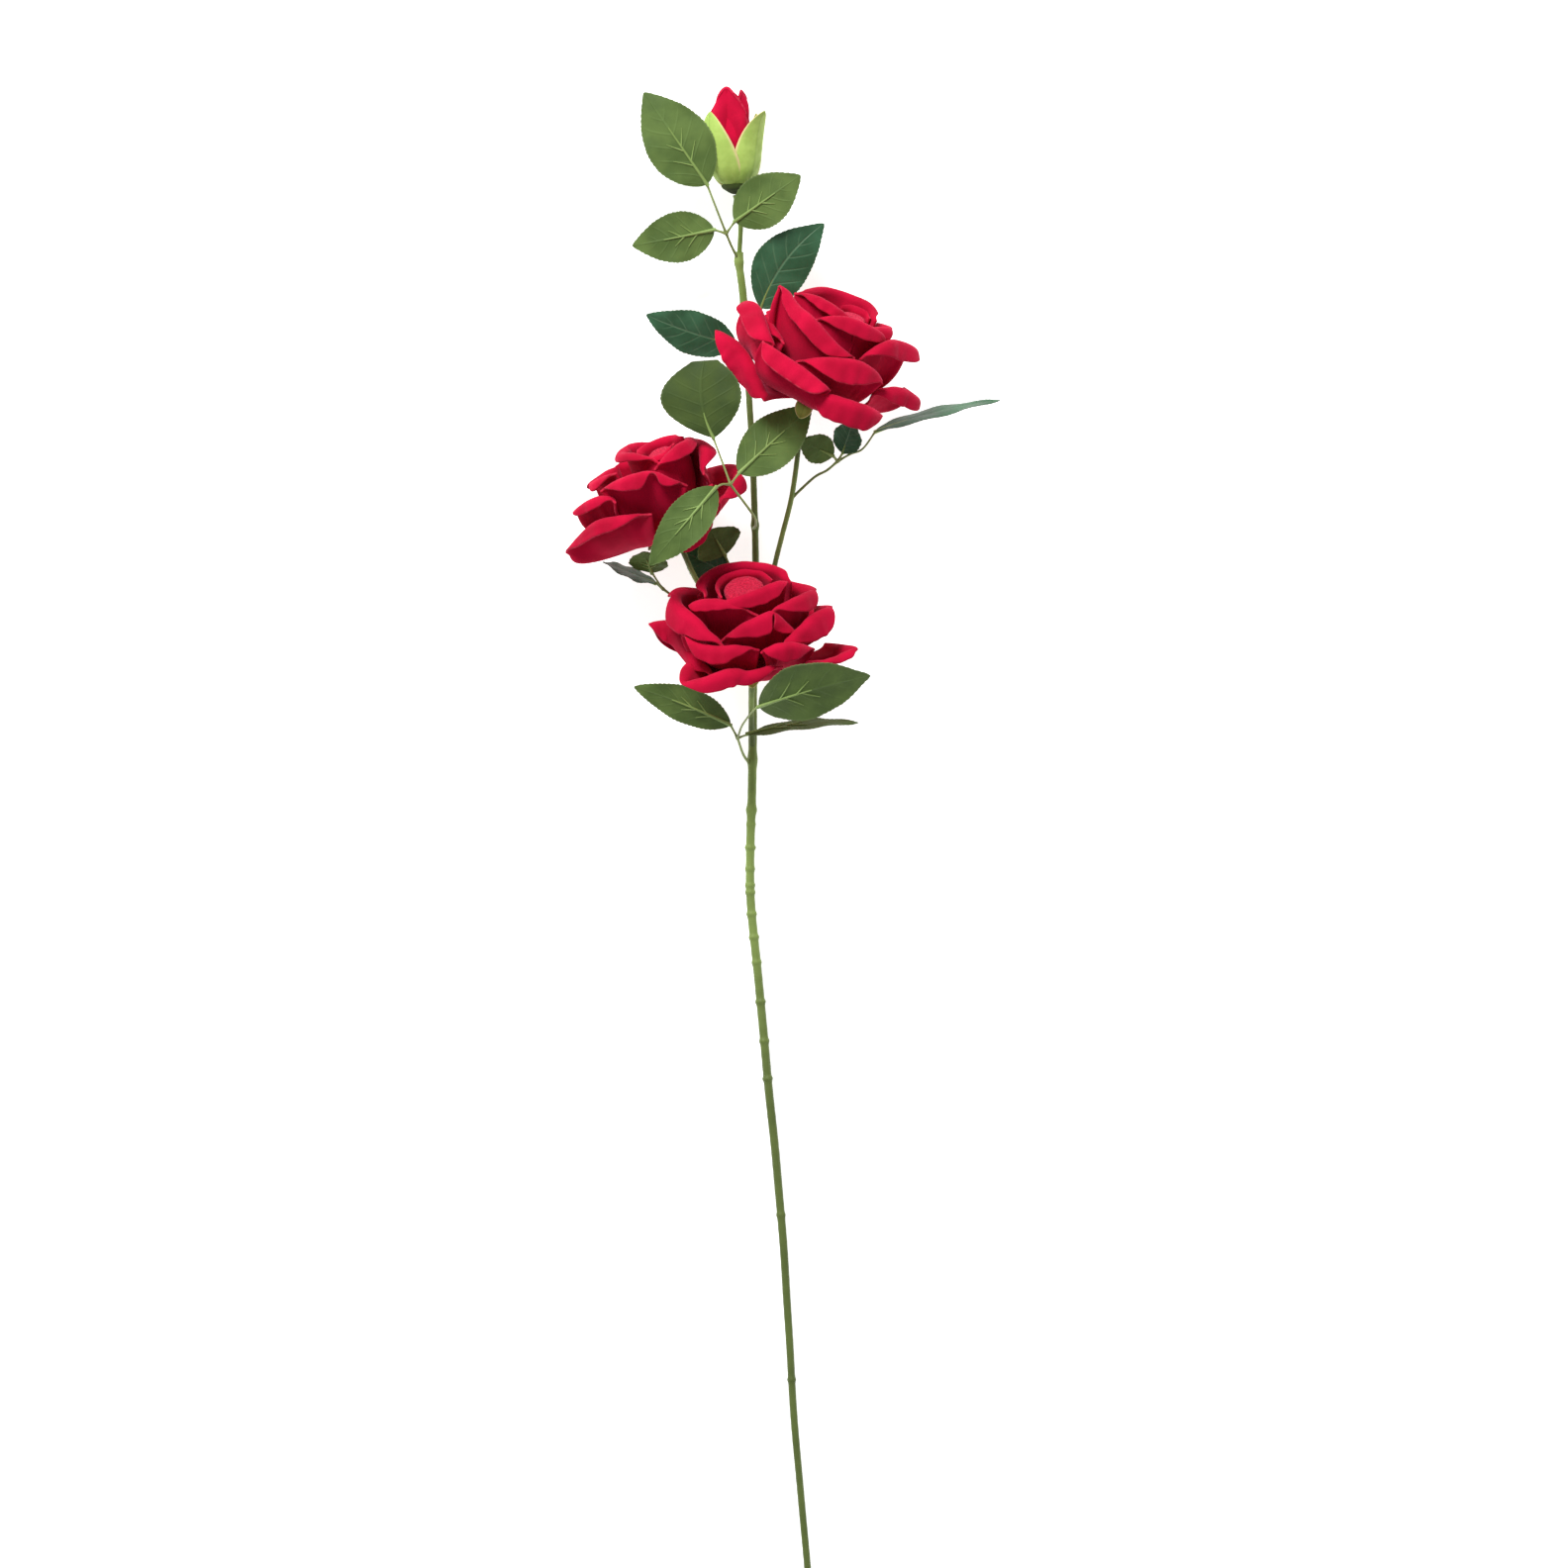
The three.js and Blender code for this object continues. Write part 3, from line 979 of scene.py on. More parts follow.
@dataclass
class Leaflet:
    """A printed cloth leaflet, fitted on its packed plate.

    Reach and width are shares of the plate's. The bow, towards the right-hand edge seen from
    above, and the ripple are in millimetres, and the turn is in degrees. The blade folds back
    on itself at the fold_back share of its length, and a leaflet can take a darker underside,
    partly a darker cloth and partly painted shade.
    """

    side: LeafSide = LeafSide.UNDER
    fold: float = 0.12
    curl: float = 0.10
    ripple: float = 0.5
    widest: float = 0.82
    rib_reach: float = 0.62
    reach: float = 1.0
    width: float = 1.0
    bow: float = 0.0
    fold_back: float = 1.0
    side_ribs: int = 2
    turn: float = 0.0
    dark_and_shaded: bool = False

    THICKNESS = 0.45
    ROWS = 72
    COLUMNS = 12
    FULLNESS = 0.8
    TIP_HALF_WIDTH = 0.4
    TIP_SPAN = (0.75, 1.0)
    TIP_LOSS = 0.12
    TOOTH = 0.55
    TOOTH_PITCH = 2.4
    TOOTH_EDGE = 0.86
    TOOTHED_FROM = (0.06, 0.14)
    TOOTHED_TO = (0.94, 1.0)
    WAVES_ALONG = 17.0
    WAVES_ACROSS = 1.3
    FOLD_LOSS = 0.5
    FOLDED_SPAN = 0.04
    FOLDED_DROP = 1.6
    MAIN_RIB = (1.1, 0.35)
    SIDE_RIB = (0.5, 0.2)
    RIB_STARTS = (0.2, 0.36)
    RIB_DROP = 0.25
    RIB_OVERHANG = 0.015
    SIDE_REACH = 0.46
    SIDE_SHORTER = 0.12
    SIDE_STAGGER = 0.05
    SIDE_RISE = 0.14
    END_SPREAD = 1.4
    END_GROUP = 14.0
    END_POINTS = 8
    MIDDLE_SPAN = 0.1

    def fit(self, node: str, stalk: str, space: DesignSpace) -> None:
        """Reads the plate's base, tip, face, half width and arch.

        Args:
            node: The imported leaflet.
            stalk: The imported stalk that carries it.
            space: Turns frame places into design places.
        """
        points = space.measure(cad_points(node))
        apart = np.linalg.norm(points[:, None] - points[None], axis=2)
        crowded = points[(apart < self.END_SPREAD).sum(axis=1) >= self.END_POINTS]
        first = crowded[0]
        near = np.linalg.norm(crowded - first, axis=1) < self.END_GROUP
        ends = [crowded[near].mean(axis=0), crowded[~near].mean(axis=0)]
        carrier = space.measure(cad_points(stalk))
        ends.sort(key=lambda end: np.linalg.norm(carrier - end, axis=1).min())
        self.base, self.tip = ends
        self.length = float(np.linalg.norm(self.tip - self.base))
        self.along = (self.tip - self.base) / self.length
        plate = self.length
        away = points - self.base
        flat = away - np.outer(away @ self.along, self.along)
        self.across = np.linalg.svd(flat - flat.mean(axis=0))[2][0]
        self.across = unit(self.across - self.along * self.across.dot(self.along))
        self.normal = np.cross(self.across, self.along)
        if self.normal[2] < 0:
            self.across, self.normal = -self.across, -self.normal
        turn = math.radians(self.turn)
        along, across = self.along, self.across
        self.along = along * math.cos(turn) - across * math.sin(turn)
        self.across = across * math.cos(turn) + along * math.sin(turn)
        self.half_width = self.width * float(np.abs(away @ self.across).max())
        share = away @ self.along / plate
        middle = np.abs(share - 0.5) < self.MIDDLE_SPAN
        self.arch = float((away[middle] @ self.normal).mean())
        self.length = self.reach * plate

    def half_at(self, along: np.ndarray) -> np.ndarray:
        """Half width of the blade: ovate with a drawn-out tip.

        Args:
            along: Share of the length.

        Returns:
            The half width at each share, in millimetres.
        """
        body = np.sin(math.pi * np.clip(along, 0, 1) ** self.widest) ** self.FULLNESS
        drawn_out = 1 - self.TIP_LOSS * smoothstep(*self.TIP_SPAN, along)
        return self.TIP_HALF_WIDTH + self.half_width * body * drawn_out

    def surface(self, across: np.ndarray, along: np.ndarray, lift: float = 0.0) -> np.ndarray:
        """Design points of the blade.

        Args:
            across: Place across, -1 to 1.
            along: Share of the length.
            lift: Distance above the blade along its face, in millimetres.

        Returns:
            One point per row.
        """
        half = self.half_at(along)
        saw = (along * self.length / self.TOOTH_PITCH) % 1.0
        inside = smoothstep(*self.TOOTHED_FROM, along) * (1 - smoothstep(*self.TOOTHED_TO, along))
        at_edge = smoothstep(self.TOOTH_EDGE, 1.0, np.abs(across))
        tooth = self.TOOTH * (saw - 0.5) * inside * at_edge
        reach = across * (half + tooth)
        upward = 1.0 if self.side is LeafSide.UPPER else -1.0
        height = 4 * self.arch * along * (1 - along) + lift
        height = height + upward * self.fold * np.abs(reach) * (1 - self.FOLD_LOSS * along)
        height = height - upward * self.curl * reach**2 / max(self.half_width, 1.0)
        wave = np.sin(along * self.WAVES_ALONG + across * self.WAVES_ACROSS) * across**2
        height = height + self.ripple * wave * inside
        folded = smoothstep(self.fold_back, self.fold_back + self.FOLDED_SPAN, along)
        height = height - self.FOLDED_DROP * folded
        place = np.minimum(along, 2 * self.fold_back - along)
        sideways = reach + 4 * self.bow * along * (1 - along)
        return (
            self.base
            + np.outer(place * self.length, self.along)
            + np.outer(sideways, self.across)
            + np.outer(height, self.normal)
        )

    def build_blade(self, name: str, space: DesignSpace, palette: Palette, node: str) -> None:
        """Models the cloth blade: one material on its face and one on its back.

        Args:
            name: The piece's name.
            space: Turns design places into frame places.
            palette: The spray's materials.
            node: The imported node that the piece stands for.
        """

        def surface(across: np.ndarray, along: np.ndarray) -> np.ndarray:
            """The blade in the frame."""
            return space.place(self.surface(across, along))

        blade = add_sheet(name, self.COLUMNS, self.ROWS, surface)
        # The darker underside is partly a darker cloth and partly painted shade.
        under = palette.leaf_dark_and_shaded if self.dark_and_shaded else palette.leaf_under
        faces = [under, palette.leaf_upper]
        if self.side is LeafSide.UPPER:
            faces.reverse()
        for material in faces:
            blade.data.materials.append(material)
        apply_modifier(
            blade,
            "SOLIDIFY",
            thickness=self.THICKNESS * MM,
            offset=0.0,
            material_offset=1,
            material_offset_rim=0,
        )
        shade(blade, 50)
        hand_over(blade, Slot.LEAF, faces, node)

    def build_ribs(self, name: str, space: DesignSpace, palette: Palette) -> bpy.types.Object:
        """Models the moulded ribs that hold the blade on its underside.

        Args:
            name: The piece's name.
            space: Turns design places into frame places.
            palette: The spray's materials.

        Returns:
            The ribs, joined.
        """
        down = -1.0 if self.side is LeafSide.UPPER else 1.0
        lift = down * (self.THICKNESS / 2 + self.RIB_DROP)
        main = np.linspace(-self.RIB_OVERHANG, self.rib_reach, 12)
        lines = [self.surface(np.zeros_like(main), main, lift)]
        for k, start in enumerate(self.RIB_STARTS[: self.side_ribs]):
            for side in (-1.0, 1.0):
                share = np.linspace(0, 1, 5)
                reach = side * share * (self.SIDE_REACH - self.SIDE_SHORTER * k)
                rise = start + self.SIDE_STAGGER * (side > 0) + share * self.SIDE_RISE
                lines.append(self.surface(reach, rise, lift))
        pieces = []
        for k, line in enumerate(lines):
            thick, thin = self.MAIN_RIB if k == 0 else self.SIDE_RIB

            def radius(
                along: np.ndarray, angle: np.ndarray, thick: float = thick, thin: float = thin
            ) -> np.ndarray:
                """Radius that tapers to the rib's end."""
                return thick + (thin - thick) * along + 0 * angle

            pieces.append(add_tube(f"{name}_{k}", Route(line), radius, space, 8, 1.5))
        ribs = join(pieces, name)
        ribs.data.materials.append(palette.rib)
        return ribs


@dataclass
class LeafSpray:
    """A moulded stalk and its leaflets."""

    name: str
    rachis: list[Point]
    leaflets: list[Leaflet]
    passes: list[list[Point]]
    radius: float = 0.78

    RACHIS_SHARES = (1.05, 0.85)
    SIDE_SHARES = (0.8, 0.65)
    FOOT_SWELL = 0.5
    HEAD_SWELL = 0.35
    SWELL_LENGTH = 1.5
    OUT_OF_ROUND = 0.04

    def build(self, space: DesignSpace, palette: Palette) -> None:
        """Models the stalk with its ribs, and the blades.

        Args:
            space: Turns design places into frame places.
            palette: The spray's materials.
        """
        stalk_node = f"{self.name}_leaf_stalk"
        junction = self.rachis[-1]
        tubes = [self._stalk_tube("rachis", self.rachis, space, palette, *self.RACHIS_SHARES)]
        for k, (leaflet, passed) in enumerate(zip(self.leaflets, self.passes), start=1):
            node = f"{self.name}_leaflet_{k}"
            leaflet.fit(node, stalk_node, space)
            start = leaflet.surface(np.zeros(1), np.zeros(1))[0]
            points = [junction, *passed, tuple(start)]
            side = self._stalk_tube(f"side_{k}", points, space, palette, *self.SIDE_SHARES)
            tubes.append(side)
            tubes.append(leaflet.build_ribs(f"rib_{self.name}_{k}", space, palette))
            leaflet.build_blade(f"leaf_{self.name}_{k}", space, palette, node)
        stalk = join(tubes, f"stalk_{self.name}")
        shade(stalk, 60)
        hand_over(stalk, Slot.STEM, [palette.stalk], stalk_node)

    def _stalk_tube(
        self,
        name: str,
        points: list[Point],
        space: DesignSpace,
        palette: Palette,
        foot: float,
        head: float,
    ) -> bpy.types.Object:
        """One length of stalk, with swollen ends.

        Args:
            name: The piece's name.
            points: Points of the middle line, in millimetres.
            space: Turns design places into frame places.
            palette: The spray's materials.
            foot: Share of the radius at the foot.
            head: Share of the radius at the head.

        Returns:
            The tube.
        """
        route = Route(points)

        def radius(along: np.ndarray, angle: np.ndarray) -> np.ndarray:
            """Radius with a swelling at each end.

            Args:
                along: Places along, 0 to 1.
                angle: Turns round the line, in radians.

            Returns:
                The radii, in millimetres.
            """
            travelled = along * route.length
            size = self.radius * (foot + (head - foot) * along)
            size = size + self.FOOT_SWELL * np.exp(-travelled / self.SWELL_LENGTH)
            left = route.length - travelled
            size = size + self.HEAD_SWELL * np.exp(-left / self.SWELL_LENGTH)
            return size * (1 + self.OUT_OF_ROUND * np.sin(2 * angle + travelled))

        tube = add_tube(name, route, radius, space, 10, 1.2)
        tube.data.materials.append(palette.stalk)
        return tube


# ---------------------------------------------------------------------------------------------
# Flowers


class FlowerFrame:
    """Place and axes of a flower: X across, Y away from the viewer, Z along its axis."""

    def __init__(self, base: Point, lean: float, lift: float, space: DesignSpace) -> None:
        """Sets up the axes.

        Args:
            base: Lower end of the calyx, in design millimetres.
            lean: Turn of the axis from +Y towards +X, in degrees.
            lift: Rise of the axis above the floor, in degrees.
            space: Turns design places into frame places.
        """
        side, up = math.radians(lean), math.radians(lift)
        axis = np.array(
            [math.sin(side) * math.cos(up), math.cos(side) * math.cos(up), math.sin(up)]
        )
        across = np.array([math.cos(side), -math.sin(side), 0.0])
        self.axes = np.array([across, np.cross(axis, across), axis])
        self.base = np.array(base)
        self.space = space

    def to_frame(self, points: np.ndarray) -> np.ndarray:
        """Frame places of flower points in millimetres."""
        return self.space.place(self.base + points @ self.axes)


class MiddleLine:
    """Middle line of a sepal in the plane of the flower's axis, as radius and height."""

    SAMPLES = 48
    HANDLE = 0.38

    def __init__(
        self, start: tuple[float, float], end: tuple[float, float], rise_in: float, rise_out: float
    ) -> None:
        """Draws the line.

        Args:
            start: Radius and height of its foot, in millimetres.
            end: Radius and height of its tip.
            rise_in: Slope at the foot, in degrees.
            rise_out: Slope at the tip, in degrees.
        """
        foot, tip = np.array(start), np.array(end)
        handle = self.HANDLE * np.linalg.norm(tip - foot)
        slopes = [np.radians(rise_in), np.radians(rise_out)]
        leave = foot + handle * np.array([np.cos(slopes[0]), np.sin(slopes[0])])
        arrive = tip - handle * np.array([np.cos(slopes[1]), np.sin(slopes[1])])
        share = np.linspace(0, 1, self.SAMPLES)[:, None]
        rest = 1 - share
        self.line = (
            rest**3 * foot
            + 3 * rest**2 * share * leave
            + 3 * rest * share**2 * arrive
            + share**3 * tip
        )
        steps = np.diff(self.line, axis=0)
        self.marks = np.concatenate([[0], np.cumsum(np.linalg.norm(steps, axis=1))])
        self.length = float(self.marks[-1])
        slope = np.gradient(self.line, axis=0)
        self.slopes = np.unwrap(np.arctan2(slope[:, 1], slope[:, 0]))

    def at(self, places: np.ndarray) -> tuple[np.ndarray, np.ndarray, np.ndarray]:
        """Radius, height and slope at lengths along the line; it runs on straight past its tip.

        Args:
            places: Lengths along the line, in millimetres.

        Returns:
            One value of each per place.
        """
        slope = np.interp(places, self.marks, self.slopes)
        beyond = np.maximum(0, places - self.length)
        radius = np.interp(places, self.marks, self.line[:, 0]) + beyond * np.cos(slope)
        height = np.interp(places, self.marks, self.line[:, 1]) + beyond * np.sin(slope)
        return radius, height, slope


@dataclass(frozen=True)
class PetalCut:
    """What the petals of one die-cut layer share, in millimetres.

    The belly says where the body swings out: shares of the crest's radius and height.
    The fan says how far the foot follows the crest round the axis.
    """

    foot: float
    belly: tuple[float, float]
    fan: float
    lip: float
    roll: float


@dataclass(frozen=True)
class Petal:
    """One petal, drawn by the crest over which its lip is folded outwards.

    The crest runs anticlockwise about the flower's axis. The lip is the length of folded
    foam at its widest; it narrows to both ends and at the pointed tip. The shift moves its
    widest place towards the crest's end, and a blunter lip stays wide nearer to both ends.
    """

    crest: tuple[Point, ...]
    tip: int | None = None
    lip: float | None = None
    belly: tuple[float, float] | None = None
    lip_shift: float = 0.0
    blunt: float = 2.2

    FOOT_RADIUS = 3.0
    THICKNESS = 1.5
    COLUMNS = 30
    ROWS = 24
    BODY_SHARE = 0.54
    FOLD = math.radians(150)
    LEAST_LIP = 1.2
    TIP_CUT = 0.72
    TIP_WIDTH = 0.16
    FOOT_HANDLE = 0.85
    NECK_HANDLE = 0.45
    SAMPLES = 160
    RUFFLE = 0.45
    RUFFLES_ACROSS = 4.3
    RUFFLES_ALONG = 2.0
    RUFFLES_ASIDE = 0.7

    def _crest_line(self) -> tuple[np.ndarray, np.ndarray]:
        """Places and unit tangents of the crest, evenly spread over its points.

        Returns:
            Two arrays with one row per sample.
        """
        spots = np.linspace(0, len(self.crest) - 1, self.SAMPLES)
        line = curve_through(self.crest, spots)
        return line, unit(np.gradient(line, axis=0))

    def _lip_length(self, across: np.ndarray, widest: float) -> np.ndarray:
        """Length of the folded lip along the crest.

        Args:
            across: Places across, -1 to 1.
            widest: Greatest length, in millimetres.

        Returns:
            The length at each place, in millimetres.
        """
        length = widest * (1 - np.abs(across) ** self.blunt) * (1 + self.lip_shift * across)
        if self.tip is not None:
            place = 2 * self.tip / (len(self.crest) - 1) - 1
            nearness = np.exp(-(((across - place) / self.TIP_WIDTH) ** 2))
            length = length * (1 - self.TIP_CUT * nearness)
        return length + self.LEAST_LIP

    def surface(self, cut: PetalCut) -> Surface:
        """The petal's shape about the flower's axis.

        Args:
            cut: The layer's cut.

        Returns:
            Flower points from places across and along the petal.
        """
        belly_out, belly_up = self.belly or cut.belly
        crest, run = self._crest_line()
        spots = np.linspace(-1, 1, self.SAMPLES)
        lip = self._lip_length(spots, self.lip or cut.lip)
        turn = np.unwrap(np.arctan2(crest[:, 1], crest[:, 0]))
        middle = turn.mean()

        def swung(share: float, radius: np.ndarray, height: np.ndarray) -> np.ndarray:
            """Points round the axis that follow the crest by a share of its turn."""
            angle = middle + share * (turn - middle)
            return np.stack([radius * np.cos(angle), radius * np.sin(angle), height], axis=-1)

        rise = crest[:, 2] - cut.foot
        foot = swung(cut.fan, np.full_like(turn, self.FOOT_RADIUS), np.full_like(turn, cut.foot))
        reach = np.hypot(crest[:, 0], crest[:, 1])
        swell = swung((1 + cut.fan) / 2, reach * belly_out, cut.foot + rise * belly_up)
        up = unit(crest - swell)
        up = unit(up - run * (up * run).sum(axis=1, keepdims=True))
        out = np.cross(run, up)
        quarter = np.minimum(lip / cut.roll, math.pi / 2)[:, None]
        neck = crest - cut.roll * (np.sin(quarter) * up + (1 - np.cos(quarter)) * out)
        early = foot + self.FOOT_HANDLE * (swell - foot)
        late = neck - self.NECK_HANDLE * np.linalg.norm(neck - swell, axis=1, keepdims=True) * up
        table = np.hstack([foot, early, late, neck, up, out, lip[:, None]])

        def bend(across: np.ndarray, along: np.ndarray) -> np.ndarray:
            """Body up to the neck, then the folded lip.

            Args:
                across: Places across, -1 to 1.
                along: Places along, 0 to 1.

            Returns:
                One flower point per row.
            """
            read = [np.interp(across, spots, column) for column in table.T]
            p0, p1, p2, p3, rising, outward = (
                np.stack(read[k : k + 3], -1) for k in range(0, 18, 3)
            )
            share = np.clip(along / self.BODY_SHARE, 0, 1)[:, None]
            rest = 1 - share
            body = rest**3 * p0 + 3 * rest**2 * share * p1
            body = body + 3 * rest * share**2 * p2 + share**3 * p3
            travelled = np.clip((along - self.BODY_SHARE) / (1 - self.BODY_SHARE), 0, 1) * read[18]
            angle = np.minimum(travelled / cut.roll, self.FOLD)
            beyond = travelled - angle * cut.roll
            climb = cut.roll * np.sin(angle) + beyond * np.cos(angle)
            reach_out = cut.roll * (1 - np.cos(angle)) + beyond * np.sin(angle)
            phase = self.RUFFLES_ACROSS * across + self.RUFFLES_ASIDE * p3[:, 0]
            wave = np.sin(phase + self.RUFFLES_ALONG * along) * along**2
            reach_out = reach_out + self.RUFFLE * wave
            return body + rising * climb[:, None] + outward * reach_out[:, None]

        return bend

    def build(self, name: str, cut: PetalCut, flower: FlowerFrame) -> bpy.types.Object:
        """Models the petal as thick flocked foam.

        Args:
            name: The piece's name.
            cut: The layer's cut.
            flower: The flower's place and axes.

        Returns:
            The petal.
        """
        bend = self.surface(cut)

        def surface(across: np.ndarray, along: np.ndarray) -> np.ndarray:
            """The petal in the frame."""
            return flower.to_frame(bend(across, along))

        petal = add_sheet(name, self.COLUMNS, self.ROWS, surface)
        apply_modifier(petal, "SOLIDIFY", thickness=self.THICKNESS * MM, offset=0.0)
        refine(petal)
        shade(petal, 180)
        return petal


@dataclass(frozen=True)
class Sepal:
    """A narrow pointed sepal that hugs the flower and bends away at its tip."""

    azimuth: float
    reach: float
    height: float
    half_width: float
    rise_in: float
    rise_out: float
    cup: float = 9.0
    foot: tuple[float, float] = (3.5, 3.0)

    THICKNESS = 0.7
    START = 0.14
    SKEW = 0.9
    FULLNESS = 0.72
    TIP_HALF_WIDTH = 0.2

    def build(self, name: str, flower: FlowerFrame, palette: Palette) -> bpy.types.Object:
        """Models the sepal as thin moulded cloth.

        Args:
            name: The piece's name.
            flower: The flower's place and axes.
            palette: The spray's materials.

        Returns:
            The sepal.
        """
        middle = MiddleLine(self.foot, (self.reach, self.height), self.rise_in, self.rise_out)
        heading = math.radians(self.azimuth)

        def surface(across: np.ndarray, along: np.ndarray) -> np.ndarray:
            """Cups a lance-shaped blade round the flower.

            Args:
                across: Places across, -1 to 1.
                along: Places along, 0 to 1.

            Returns:
                One point per row.
            """
            place = (self.START + (1 - self.START) * along) ** self.SKEW
            half = self.half_width * np.sin(math.pi * place) ** self.FULLNESS
            x = across * (half + self.TIP_HALF_WIDTH)
            radius, height, slope = middle.at(along * middle.length)
            side = self.cup * np.sin(x / self.cup)
            inward = self.cup - self.cup * np.cos(x / self.cup)
            radius = radius - np.sin(slope) * inward
            height = height + np.cos(slope) * inward
            point = [
                radius * np.cos(heading) - side * np.sin(heading),
                radius * np.sin(heading) + side * np.cos(heading),
                height,
            ]
            return flower.to_frame(np.stack(point, axis=-1))

        sepal = add_sheet(name, 8, 22, surface)
        sepal.data.materials.append(palette.sepal)
        apply_modifier(sepal, "SOLIDIFY", thickness=self.THICKNESS * MM, offset=0.0)
        refine(sepal)
        return sepal


@dataclass
class Bloom:
    """An open velvet bloom: calyx, four petal layers and a foam core."""

    name: str
    base: Point
    lean: float
    lift: float
    layers: dict[int, list[Petal]]
    core_radius: float
    core_top: float
    core_shift: tuple[float, float] = (0.0, 0.0)
    sepal_turn: float = 54.0

    FRONT = 270.0
    FRONT_SPAN = 40.0
    FRONT_SEPAL = (12.0, -2.5)
    BACK_SEPAL = (19.0, 3.0)
    SEPAL_FOOT = (3.5, 3.2)
    CORE_OUT_OF_ROUND = 0.03
    CORE_PLEATS = 0.015
    CUTS = {
        4: PetalCut(6.5, (0.86, 0.10), 0.55, 15.0, 3.8),
        3: PetalCut(9.0, (0.98, 0.18), 0.70, 15.0, 3.5),
        2: PetalCut(11.2, (1.0, 0.25), 0.85, 13.0, 3.1),
        1: PetalCut(13.4, (1.0, 0.30), 1.0, 9.0, 2.4),
    }

    def build(self, space: DesignSpace, palette: Palette) -> None:
        """Models every piece of the bloom.

        Args:
            space: Turns design places into frame places.
            palette: The spray's materials.
        """
        flower = FlowerFrame(self.base, self.lean, self.lift, space)
        for layer, petals in self.layers.items():
            for petal, letter in zip(petals, "abcdef"):
                piece = petal.build(f"petal_{self.name}_{layer}{letter}", self.CUTS[layer], flower)
                node = f"{self.name}_bloom_petals_{layer}"
                hand_over(piece, Slot.VELVET, [palette.velvet], node)
        self._build_core(flower, palette)
        self._build_calyx(flower, palette)

    def _build_core(self, flower: FlowerFrame, palette: Palette) -> None:
        """Models the rolled foam core with its rough domed top.

        Args:
            flower: The flower's place and axes.
            palette: The spray's materials.
        """
        r, top = self.core_radius, self.core_top
        profile = [
            (0, 16), (r * 0.35, 17), (r * 0.4, 28), (r * 0.5, top - 16), (r * 0.72, top - 10),
            (r, top - 5), (r, top - 3.4), (r * 0.93, top - 1.6), (r * 0.75, top - 0.5),
            (r * 0.4, top - 0.9), (0, top - 1.4),
        ]

        def shifted(points: np.ndarray) -> np.ndarray:
            """Leans the core towards the side where the inner petals stand."""
            rise = np.clip(points[:, 2:] / top, 0, 1)
            return flower.to_frame(points + rise * np.array([*self.core_shift, 0.0]))

        def wobble(angle: np.ndarray, height: np.ndarray) -> np.ndarray:
            """Slightly uneven round."""
            oval = self.CORE_OUT_OF_ROUND * np.sin(2 * angle + 0.1 * height)
            return 1 + oval + self.CORE_PLEATS * np.sin(7 * angle)

        core = add_turning(f"core_{self.name}", profile, shifted, 36, 30, wobble)
        shade(core, 180)
        hand_over(core, Slot.VELVET, [palette.foam], f"{self.name}_bloom_core")

    def _build_calyx(self, flower: FlowerFrame, palette: Palette) -> None:
        """Models the receptacle and its five sepals as one moulding.

        Args:
            flower: The flower's place and axes.
            palette: The spray's materials.
        """
        profile = [(0, 0), (2.4, 0.1), (3.6, 1.0), (5.4, 3.4), (5.8, 5.2), (4.6, 6.0), (0, 6.2)]
        pieces = [add_turning("receptacle", profile, flower.to_frame, 24, 16)]
        pieces[0].data.materials.append(palette.receptacle)
        for k in range(5):
            azimuth = self.sepal_turn + 72 * k
            off_front = abs((azimuth - self.FRONT + 180) % 360 - 180)
            end = self.FRONT_SEPAL if off_front < self.FRONT_SPAN else self.BACK_SEPAL
            sepal = Sepal(
                azimuth, *end, half_width=5.2, rise_in=20, rise_out=-30, foot=self.SEPAL_FOOT
            )
            pieces.append(sepal.build(f"sepal_{k}", flower, palette))
        calyx = join(pieces, f"calyx_{self.name}")
        shade(calyx, 60)
        hand_over(calyx, Slot.SEPAL, [palette.sepal], f"{self.name}_bloom_calyx")


